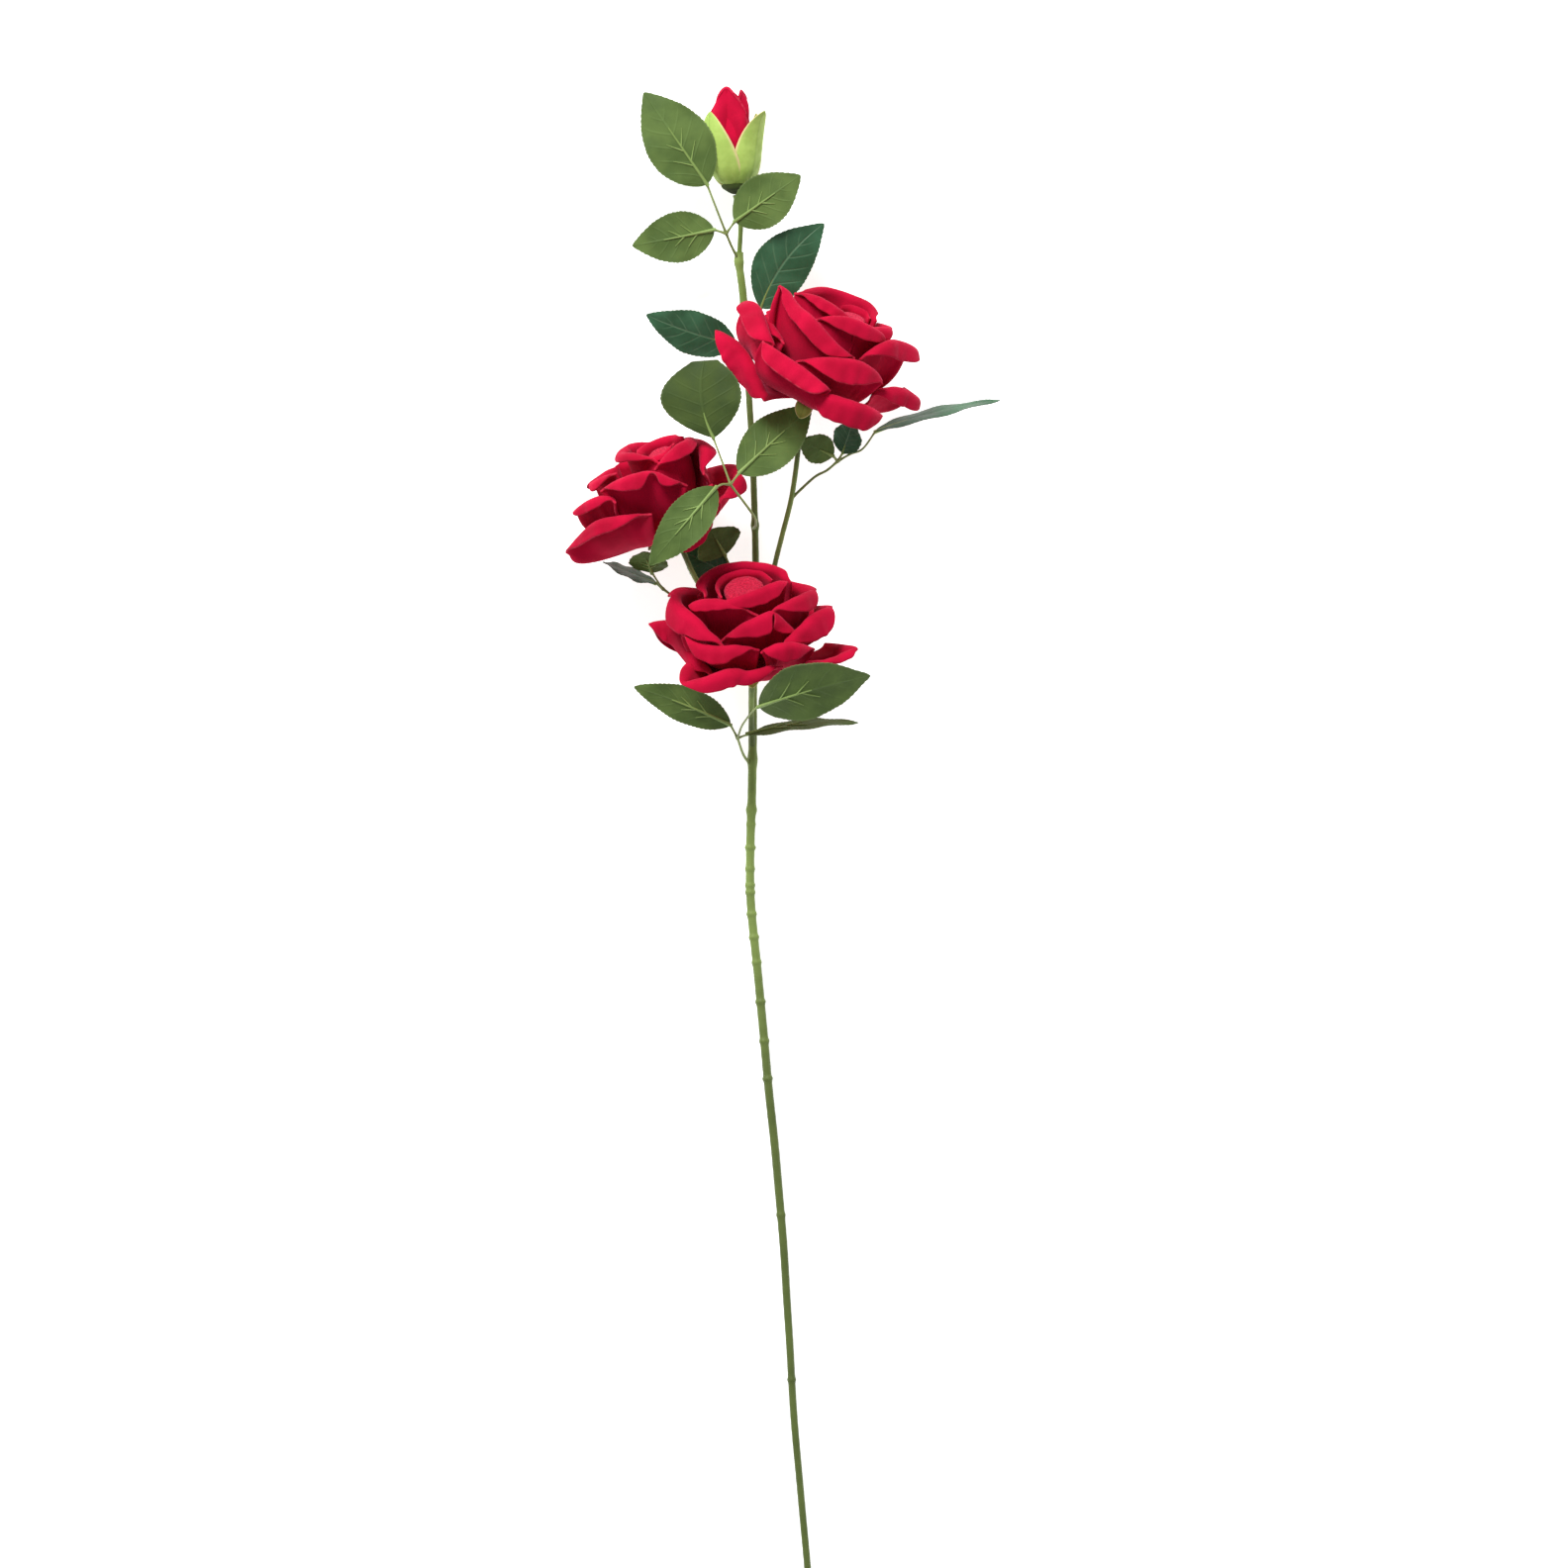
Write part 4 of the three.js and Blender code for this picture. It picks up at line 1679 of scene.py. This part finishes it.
@dataclass
class Bud:
    """The closed bud: rolled petals inside tall sepals."""

    base: Point = (-40.7, 774.0, 22.0)
    lean: float = -1.0
    lift: float = 4.0
    cut: PetalCut = PetalCut(7.5, (1.3, 0.5), 1.0, 0.4, 1.2)

    def build(self, space: DesignSpace, palette: Palette) -> None:
        """Models the rolled petals and the calyx.

        Args:
            space: Turns design places into frame places.
            palette: The spray's materials.
        """
        flower = FlowerFrame(self.base, self.lean, self.lift, space)
        petals = [
            Petal(((5, 6, 50), (0, 6.5, 56), (-6, 4, 55.5), (-11, -1, 49), (-12, -4, 42))),
            Petal(((-13.5, -2, 45), (-9.5, -5, 54), (-4.5, -5.5, 60), (1, -7.5, 55),
                   (6, -8, 47), (8.5, -6.5, 38))),
            Petal(((1, -7.5, 48), (4.2, -5, 58), (6.8, 0, 54), (4, 6, 50))),
        ]
        pieces = [
            petal.build(f"bud_petal_{k}", self.cut, flower) for k, petal in enumerate(petals)
        ]
        profile = [(0, 8), (7, 11), (9.5, 20), (9.6, 32), (8, 44), (4.5, 51), (0, 53)]
        pieces.append(add_turning("bud_heart", profile, flower.to_frame, 24, 20))
        velvet = join(pieces, "bud_rolled_petals")
        shade(velvet, 180)
        hand_over(velvet, Slot.VELVET, [palette.velvet], "bud_petals")
        self._build_calyx(flower, palette)

    def _build_calyx(self, flower: FlowerFrame, palette: Palette) -> None:
        """Models the receptacle and the five tall sepals.

        Args:
            flower: The flower's place and axes.
            palette: The spray's materials.
        """
        profile = [(0, 0), (1.9, 0.2), (4.0, 1.2), (7.6, 3.6), (9.0, 8.0), (7.0, 9.5), (0, 9.6)]
        pieces = [add_turning("bud_receptacle", profile, flower.to_frame, 24, 20)]
        pieces[0].data.materials.append(palette.receptacle)
        sepals = [
            Sepal(224, 18.5, 47, 16.0, 14, 98, 12.5, foot=(3.0, 4.0)),
            Sepal(316, 23.5, 47, 13.0, 14, 50, 12.5, foot=(3.0, 4.0)),
            Sepal(35, 15.0, 45, 9.0, 16, 88, 12.5, foot=(3.0, 3.0)),
            Sepal(95, 14.5, 44, 9.0, 16, 92, 12.5, foot=(3.0, 3.0)),
            Sepal(155, 14.5, 42, 9.0, 16, 92, 12.5, foot=(3.0, 3.0)),
        ]
        pieces += [
            sepal.build(f"bud_sepal_{k}", flower, palette) for k, sepal in enumerate(sepals)
        ]
        calyx = join(pieces, "bud_cup")
        shade(calyx, 60)
        hand_over(calyx, Slot.SEPAL, [palette.sepal], "bud_calyx")


# ---------------------------------------------------------------------------------------------
# The spray


class RoseSpray:
    """The whole spray, with the design's routes and the shape of each petal and leaflet."""

    MAIN_STEM: list[Point] = [
        (0, 0, 2.4), (-4, 45, 2.5), (-8, 89, 2.7), (-12, 155, 3.2), (-15, 199, 3.6),
        (-19, 243, 4.2), (-23.5, 287, 4.8), (-27.5, 331, 5.4), (-32, 375, 6), (-32.7, 408, 6.5),
        (-31.6, 441, 7), (-31.3, 474, 7.6), (-31, 502, 8), (-29.5, 540, 8.5), (-29.7, 573, 8.5),
        (-31, 622, 8.7), (-33, 656, 9), (-34.7, 691, 10), (-35.8, 710, 12),
    ]
    TOP_JOINT: list[Point] = [
        (-35.8, 708.5, 11.8), (-37, 722, 13.8), (-38.8, 736, 16), (-38.6, 742, 17),
    ]
    BUD_STEM: list[Point] = [
        (-38.7, 740, 16.7), (-38, 757, 19.5), (-39, 766, 21), (-40.5, 773.6, 22.2),
    ]
    LEFT_BRANCH: list[Point] = [
        (-31, 514, 8.2), (-42, 533, 10.5), (-54.5, 548, 13), (-61.6, 557.7, 18), (-66, 566, 27),
        (-69.5, 574, 34.6), (-71.9, 580.7, 37.5),
    ]
    CENTRE_BRANCH: list[Point] = [
        (-31.3, 465, 7.4), (-31.8, 475, 13), (-32, 486, 24), (-31.5, 501.7, 39.6),
        (-32, 507.7, 44.3),
    ]
    RIGHT_BRANCH: list[Point] = [
        (-30.3, 514, 8.2), (-26, 535, 10), (-23, 548, 11), (-18.7, 568.7, 15.5), (-14.9, 584, 22),
        (-9.4, 606, 31), (-6, 631, 39), (-5.4, 647.4, 44.6), (-2.9, 654.2, 47.2),
    ]
    KNOTS = [
        Knot(431, 0.8, 2.2), Knot(423, 0.4), Knot(410, 0.9, 1.1), Knot(398, 0.5), Knot(389, 0.6),
        Knot(385, 0.5), Knot(373, 0.6), Knot(360, 0.65), Knot(346, 0.55), Knot(324, 0.65),
        Knot(302, 0.55), Knot(281, 0.6), Knot(205, 0.4), Knot(113, 0.45), Knot(590, 0.6, 2.5),
        Knot(514, 0.8, 4.0), Knot(459, 0.6, 3.0), Knot(691, 0.5, 2.5),
    ]

    def __init__(self) -> None:
        """Finds the frame and makes the materials."""
        self.space = DesignSpace()
        self.palette = Palette()

    def build(self) -> None:
        """Builds every sub-assembly in order."""
        for stem, material in self.stems():
            stem.build(self.space, material)
        for spray in self.sprays():
            spray.build(self.space, self.palette)
        for bloom in (self.left_bloom(), self.centre_bloom(), self.right_bloom()):
            bloom.build(self.space, self.palette)
        Bud().build(self.space, self.palette)

    def stems(self) -> list[tuple[Stem, bpy.types.Material]]:
        """The woody parts with their plastics.

        Returns:
            Pairs of a stem and its plastic.
        """
        stem, joint = self.palette.stem, self.palette.joint
        return [
            (
                Stem("stem_main", "main_stem", self.MAIN_STEM, 2.4, knots=self.KNOTS, taper=0.2,
                     head_taper=0.25),
                stem,
            ),
            (Stem("stem_left", "left_branch", self.LEFT_BRANCH, 1.5, head_flare=0.6), stem),
            (Stem("stem_centre", "centre_branch", self.CENTRE_BRANCH, 1.6, head_flare=0.6), stem),
            (Stem("stem_right", "right_branch", self.RIGHT_BRANCH, 1.45, head_flare=0.6), stem),
            (
                Stem("sleeve_top", "top_joint", self.TOP_JOINT, 2.15, Slot.JOINT,
                     [Knot(737, 0.7, 3.0), Knot(712, 0.4, 2.0)]),
                joint,
            ),
            (Stem("stem_bud", "bud_stem", self.BUD_STEM, 1.35, Slot.JOINT, head_flare=0.6), joint),
        ]

    def sprays(self) -> list[LeafSpray]:
        """The leaf sprays, from the top down.

        Returns:
            The seven sprays.
        """
        under, upper = LeafSide.UNDER, LeafSide.UPPER
        return [
            LeafSpray(
                "top", [(-38.8, 737, 16), (-43, 745, 23), (-46, 752, 29)],
                [Leaflet(under), Leaflet(under), Leaflet(under)],
                [[(-50, 762, 34)], [], []],
            ),
            LeafSpray(
                "back", [(-34.8, 690, 10.5), (-35.3, 692, 13), (-35.5, 694, 15.5)],
                [Leaflet(upper, reach=1.06, width=0.98, bow=-5.5), Leaflet(upper)],
                [[(-32, 701, 16)], []],
            ),
            LeafSpray(
                "middle", [(-30.7, 588, 9), (-29.5, 590, 32), (-31, 595, 58), (-43.5, 611.5, 76)],
                [
                    # Its darker underside is partly a darker cloth and partly painted shade.
                    Leaflet(under, rib_reach=0.3, fold_back=0.92, widest=1.0, width=1.04, bow=-5.0,
                            side_ribs=0, dark_and_shaded=True),
                    Leaflet(under, reach=1.38, width=1.16),
                    Leaflet(under, width=0.92),
                ],
                [[(-48, 624, 73)], [], [(-48, 611.5, 81)]],
            ),
            LeafSpray(
                "right", [(-9.7, 604.5, 30.5), (2.8, 616, 33), (10, 620, 35), (16, 625, 37)],
                [
                    Leaflet(upper, width=0.62, bow=-6.5),
                    Leaflet(under, reach=1.3, width=1.15, side_ribs=0, rib_reach=0.4),
                    Leaflet(upper, reach=1.15, width=1.15),
                ],
                [[(23, 629, 37), (30, 632, 37)], [], []],
            ),
            LeafSpray(
                "inner", [(-30, 556, 8.5), (-37, 559, 11), (-42, 561, 13)],
                [Leaflet(upper, width=1.1), Leaflet(under, reach=0.92, turn=38, side_ribs=0)],
                [[], [(-44, 567, 15)]],
            ),
            LeafSpray(
                "left", [(-55, 548.5, 13.3), (-66, 547, 18), (-75, 550, 24), (-81, 554, 27)],
                [Leaflet(upper), Leaflet(under, reach=0.75, width=0.62, turn=-45)],
                [[], [(-84, 558, 33)]],
            ),
            LeafSpray(
                "bottom", [(-33, 457, 7.3), (-36.5, 462, 20), (-39.6, 471, 36)],
                [
                    Leaflet(under, width=0.85, bow=2.5),
                    Leaflet(under, width=1.5, bow=-9.5, rib_reach=0.5),
                    Leaflet(under, width=0.6, bow=-2.0, rib_reach=0.25),
                ],
                [[], [(-37, 478, 58), (-31, 486, 84)], []],
            ),
        ]

    def left_bloom(self) -> Bloom:
        """The bloom on the left branch, leaning left.

        Returns:
            The bloom.
        """
        return Bloom(
            "left", (-72, 581, 37.6), -20, 22,
            {
                4: [
                    Petal(((-38, 18, 18), (-61.5, -6, 18.6), (-50, -16, 29.5), (-40, -24, 36.5),
                           (-30, -30, 37.5), (-20, -34, 36.5), (-9, -36, 34)), 1, 14, (1.05, 0.05)),
                    Petal(((28, -22, 21), (37, -14, 22.5), (45, -2, 26.5), (41, 10, 28),
                           (28, 22, 26)), 2, 13),
                    Petal(((-10, -36, 16), (3, -42, 14), (15, -38, 19), (26, -28, 21.5)), None, 12),
                    Petal(((30, 24, 24), (18, 38, 24), (0, 42, 25)), 1, 9),
                    Petal(((-4, 42, 25), (-24, 36, 24), (-38, 20, 22)), 1, 9),
                ],
                3: [
                    Petal(((-30, 24, 30), (-50, 0, 37), (-39.5, -13, 45.5), (-31, -19, 46.5),
                           (-26, -24, 43)), 1, 11),
                    Petal(((-32, -13, 48.5), (-23, -22, 54), (-12, -28, 56.5), (-1, -30, 55),
                           (7, -30, 47.5), (15, -28, 39.5)), 3, 14),
                    Petal(((25, -22, 40), (29, -15, 47), (30.5, -7, 50.5), (27, 4, 51),
                           (19, 15, 50)), None, 12),
                    Petal(((8, -34, 29), (20, -31, 33), (28, -24, 34)), 1, 10),
                    Petal(((18, 28, 42), (0, 34, 44), (-20, 28, 44)), 1, 9),
                ],
                2: [
                    Petal(((-18, 22, 46), (-30, 14, 46.5), (-36, 3, 48.5), (-29, -9, 54),
                           (-20, -15, 56)), 2, 11),
                    Petal(((8, 19, 52), (-3, 21, 54.5), (-10, 15, 57.5), (-14.5, 4, 59),
                           (-9, -7, 60.5), (-1, -12, 57), (6, -15, 51.5)), 2, 9),
                    Petal(((0, -19, 51.5), (10, -19, 57.5), (18, -14, 59), (24, -5, 56.5),
                           (22, 8, 53)), None, 12),
                ],
                1: [
                    Petal(((22, 2, 56.5), (16, 11, 55.5), (6, 13, 55.5), (-3, 9, 55.5),
                           (-7, 0, 55)), None, 6),
                    Petal(((-6, -4, 55), (1, -8, 54.5), (9, -8, 55), (16, -3, 56.5)), None, 6),
                ],
            },
            8, 54, (7, 0),
        )

    def centre_bloom(self) -> Bloom:
        """The bloom in front of the stem, opened towards the viewer.

        Returns:
            The bloom.
        """
        return Bloom(
            "centre", (-32, 508, 44.5), -5, 37.5,
            {
                4: [
                    Petal(((-38, 26, 18), (-54.4, 10, 31.5), (-47, 9, 32.8), (-40.5, 5, 34),
                           (-35, -5, 31), (-30, -20, 24.6), (-22, -30, 22)), 1, 17),
                    Petal(((-30, -8, 18), (-36, -20, 23), (-40, -34, 21.5), (-27, -41, 27.5),
                           (-16, -42, 32), (-8, -42, 32.5), (-1, -41, 29), (11, -38, 29),
                           (18, -33, 26.5)), 2, 14),
                    Petal(((31, -33, 29), (43, -31, 24.5), (52, -26, 23.5), (60.5, -19, 23.5),
                           (52, -6, 17), (42, 4, 12)), 3, 7),
                    Petal(((40, 22, 18), (30, 38, 18), (8, 46, 20)), 1, 9),
                    Petal(((2, 46, 20), (-22, 42, 18), (-38, 26, 15)), 1, 9),
                ],
                3: [
                    Petal(((-23, 28, 39), (-35, 18, 48), (-39.5, 8, 51), (-36.5, -4, 52),
                           (-29.5, -13, 50.3), (-23, -21, 45.8), (-13, -28, 39)), 2, 18),
                    Petal(((-37, -13, 40.5), (-28, -23, 39.5), (-18, -28, 39.5),
                           (-8, -31, 41.2), (6, -31, 37.7)), None, 14),
                    Petal(((6, -34, 38), (15, -35, 42.5), (26, -32, 40.5), (36.5, -26, 31)),
                           None, 15),
                    Petal(((19, -30, 38.5), (29, -22, 42.5), (38, -13, 45), (47, -2, 41.2),
                           (38, 16, 29)), 3, 18),
                    Petal(((24, 30, 30), (0, 38, 34), (-20, 30, 32)), 1, 9),
                ],
                2: [
                    Petal(((-22, 12, 46), (-31.5, 0, 49.5), (-26, -4, 54.5), (-17, -8, 57.3),
                           (-7, -12, 56.5), (7, -16, 50)), 1, 10),
                    Petal(((-16, -21, 38), (-5, -24, 49), (6, -22, 52.8), (15, -18, 52.7),
                           (22, -18, 44), (28, -18, 36)), 3, 15),
                    Petal(((13, -18, 53), (24, -13, 55), (33, -5, 53.5), (38, 5, 49),
                           (30, 17, 44.5), (16, 24, 44)), 3, 14),
                    Petal(((0, 28, 44), (-16, 24, 46), (-26, 12, 46)), None, 8),
                ],
                1: [
                    Petal(((27, 3, 57), (19, 16, 58), (0, 22, 59), (-16, 18, 59),
                           (-23.5, 8, 58), (-22, -3, 56.5)), None, 9),
                    Petal(((-13, -9, 56), (-4, -10, 59), (9, -8, 62), (19, -3, 62), (25, 2, 58)),
                           None, 11),
                    Petal(((16, 2, 60.5), (9, 12, 60.5), (-6, 13, 60.5), (-15, 4, 60),
                           (-13, -7, 58)), None, 2),
                ],
            },
            11.5, 60,
        )

    def right_bloom(self) -> Bloom:
        """The bloom on the right branch, leaning right.

        Returns:
            The bloom.
        """
        return Bloom(
            "right", (-2.8, 654.5, 47.3), 20, 20,
            {
                4: [
                    Petal(((-38, 8, 12), (-61, -2, 25), (-49.5, -12, 27), (-41, -18, 23.6),
                           (-34, -24, 17.5), (-27, -30, 10), (-22, -33, 6.5)), 1, 18),
                    Petal(((1, -42, 24), (12, -46, 27.5), (25, -47, 28.5), (36, -42, 27),
                           (43, -34, 22.5)), None, 18.5, blunt=5.0),
                    Petal(((33, -27, 28.5), (41, -20, 33.5), (49.5, -12, 34), (57.5, -2, 29),
                           (48, 16, 26)), None, 14.5, blunt=2.4),
                    Petal(((36, 28, 26), (26, 42, 26), (8, 48, 28)), 1, 10),
                    Petal(((2, 48, 27), (-22, 42, 26), (-36, 26, 26)), 1, 10),
                ],
                3: [
                    Petal(((-49, 9, 44), (-44, -3, 48.5), (-39, -13, 47.5), (-34, -22, 44),
                           (-27, -30, 38.7)), None, 17, (1.3, 0.2), blunt=6.0),
                    Petal(((-34.3, -34, 40), (-24, -40, 39.5), (-8, -43, 36.5), (4, -45, 33),
                           (11, -45, 30)), None, 18, (1.2, 0.15), blunt=3.4),
                    Petal(((-13, -33, 35), (0, -37, 43.3), (11, -37, 47), (21, -34, 48),
                           (31, -29, 44), (37, -24, 37)), None, 19),
                    Petal(((20, -28, 47), (30.5, -18, 57.5), (36.5, -9, 58.5), (46, 3, 54),
                           (35, 22, 43)), None, 16, blunt=2.2),
                    Petal(((28, 32, 40), (4, 42, 42), (-22, 32, 38)), 1, 10),
                ],
                2: [
                    Petal(((-30, 8, 54), (-36.5, -4, 63.5), (-30.8, -8, 63.5),
                           (-22.8, -16, 60.5), (-12.7, -24, 59.5), (2, -29, 53),
                           (10, -30, 49.7), (18, -29, 47)), 1, 12.5, None, 0.65),
                    Petal(((-14, 26, 42), (-28, 14, 46), (-37, 3, 43), (-31, -12, 42),
                           (-22, -20, 38)), 2, 12),
                    Petal(((12, -18, 57), (22, -10, 61), (30.3, 1, 61), (22, 16, 56)), 2, 11),
                    Petal(((24, 18, 54), (4, 28, 56), (-20, 22, 52)), None, 10),
                ],
                1: [
                    Petal(((-11, -13, 55), (-2, -18, 62), (8.5, -19, 65), (18.5, -16, 63.5),
                           (27, -10, 59.5), (31, -6, 54)), None, 12),
                    Petal(((-27, -1, 61.5), (-16, -7, 66), (-6, -10, 66), (3, -10, 63.5),
                           (9, -7, 60.5)), None, 9),
                    Petal(((22, 1, 62), (19, 11, 64), (12.5, 16, 65.5), (0, 19, 65),
                           (-10.5, 16, 65), (-19, 8, 63.5), (-25, 0, 62)), None, 9),
                    Petal(((18, 3, 61.5), (15, 9, 62.5), (6, 10, 62.5), (0, 6, 61.5)), None, 2),
                ],
            },
            8, 61, (9, 0),
        )


# ---------------------------------------------------------------------------------------------
# Stage


@dataclass(frozen=True)
class Lamp:
    """A square soft light: its place from the lit middle and size in metres, and its power."""

    name: str
    offset: Point
    size: float
    power: float


@dataclass(frozen=True)
class Stage:
    """Pale floor, soft studio light and the camera that looks straight down."""

    view_middle: Point = (-13.8, 445.5, 50.0)
    view_width: float = 871.2
    distance: float = 10.0
    sensor: float = 36.0
    floor_half: float = 6.0
    floor_glow: float = 0.86
    surround: float = 0.36
    light_middle: Point = (-20.0, 560.0, 40.0)
    lamps: tuple[Lamp, ...] = (
        Lamp("key", (-0.55, 1.35, 1.35), 0.7, 46.0),
        Lamp("fill", (0.9, -1.2, 1.6), 1.6, 6.0),
    )

    def build(self, space: DesignSpace) -> None:
        """Sets the stage.

        Args:
            space: Turns design places into frame places.
        """
        self._floor()
        self._camera(space)
        self._lights(space)

    def _floor(self) -> None:
        """A wide matte floor with a faint grain."""
        deselect_all()
        bpy.ops.mesh.primitive_plane_add(size=2 * self.floor_half)
        floor = bpy.context.active_object
        floor.name = "floor"
        graph = Graph("floor")
        grain = graph.noise(40.0, 4.0)
        tone = graph.mix(grain, (0.86, 0.86, 0.86, 1), (0.9, 0.9, 0.9, 1))
        finish = graph.finish(
            Base_Color=tone,
            Roughness=0.95,
            Specular_IOR_Level=0.1,
            Emission_Color=tone,
            Emission_Strength=self.floor_glow,
        )
        floor.data.materials.append(finish)

    def _camera(self, space: DesignSpace) -> None:
        """A long lens, so that the view is nearly without perspective.

        Args:
            space: Turns design places into frame places.
        """
        data = bpy.data.cameras.new("camera")
        data.sensor_width = self.sensor
        data.lens = self.sensor * self.distance / (self.view_width * MM)
        data.clip_end = 10 * self.distance
        camera = bpy.data.objects.new("camera", data)
        bpy.context.scene.collection.objects.link(camera)
        middle = space.place(np.array([self.view_middle]))[0]
        camera.location = (middle[0], middle[1], middle[2] + self.distance)
        bpy.context.scene.camera = camera

    def _lights(self, space: DesignSpace) -> None:
        """One large soft key from the bud's side, a fill, and a bright surround.

        Args:
            space: Turns design places into frame places.
        """
        middle = space.place(np.array([self.light_middle]))[0]
        for lamp in self.lamps:
            data = bpy.data.lights.new(lamp.name, "AREA")
            data.size = lamp.size
            data.energy = lamp.power
            light = bpy.data.objects.new(lamp.name, data)
            bpy.context.scene.collection.objects.link(light)
            light.location = middle + np.array(lamp.offset)
            away = Vector(lamp.offset)
            light.rotation_euler = away.to_track_quat("Z", "Y").to_euler()
        world = bpy.data.worlds.new("surround")
        world.use_nodes = True
        background = world.node_tree.nodes["Background"]
        background.inputs["Color"].default_value = (1, 1, 1, 1)
        background.inputs["Strength"].default_value = self.surround
        bpy.context.scene.world = world
        bpy.context.scene.view_settings.view_transform = "Standard"


def main() -> None:
    """Builds the spray and its stage."""
    logging.basicConfig(level=logging.INFO, format="%(name)s: %(message)s")
    spray = RoseSpray()
    spray.build()
    Stage().build(spray.space)
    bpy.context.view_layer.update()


if __name__ == "__main__":
    main()
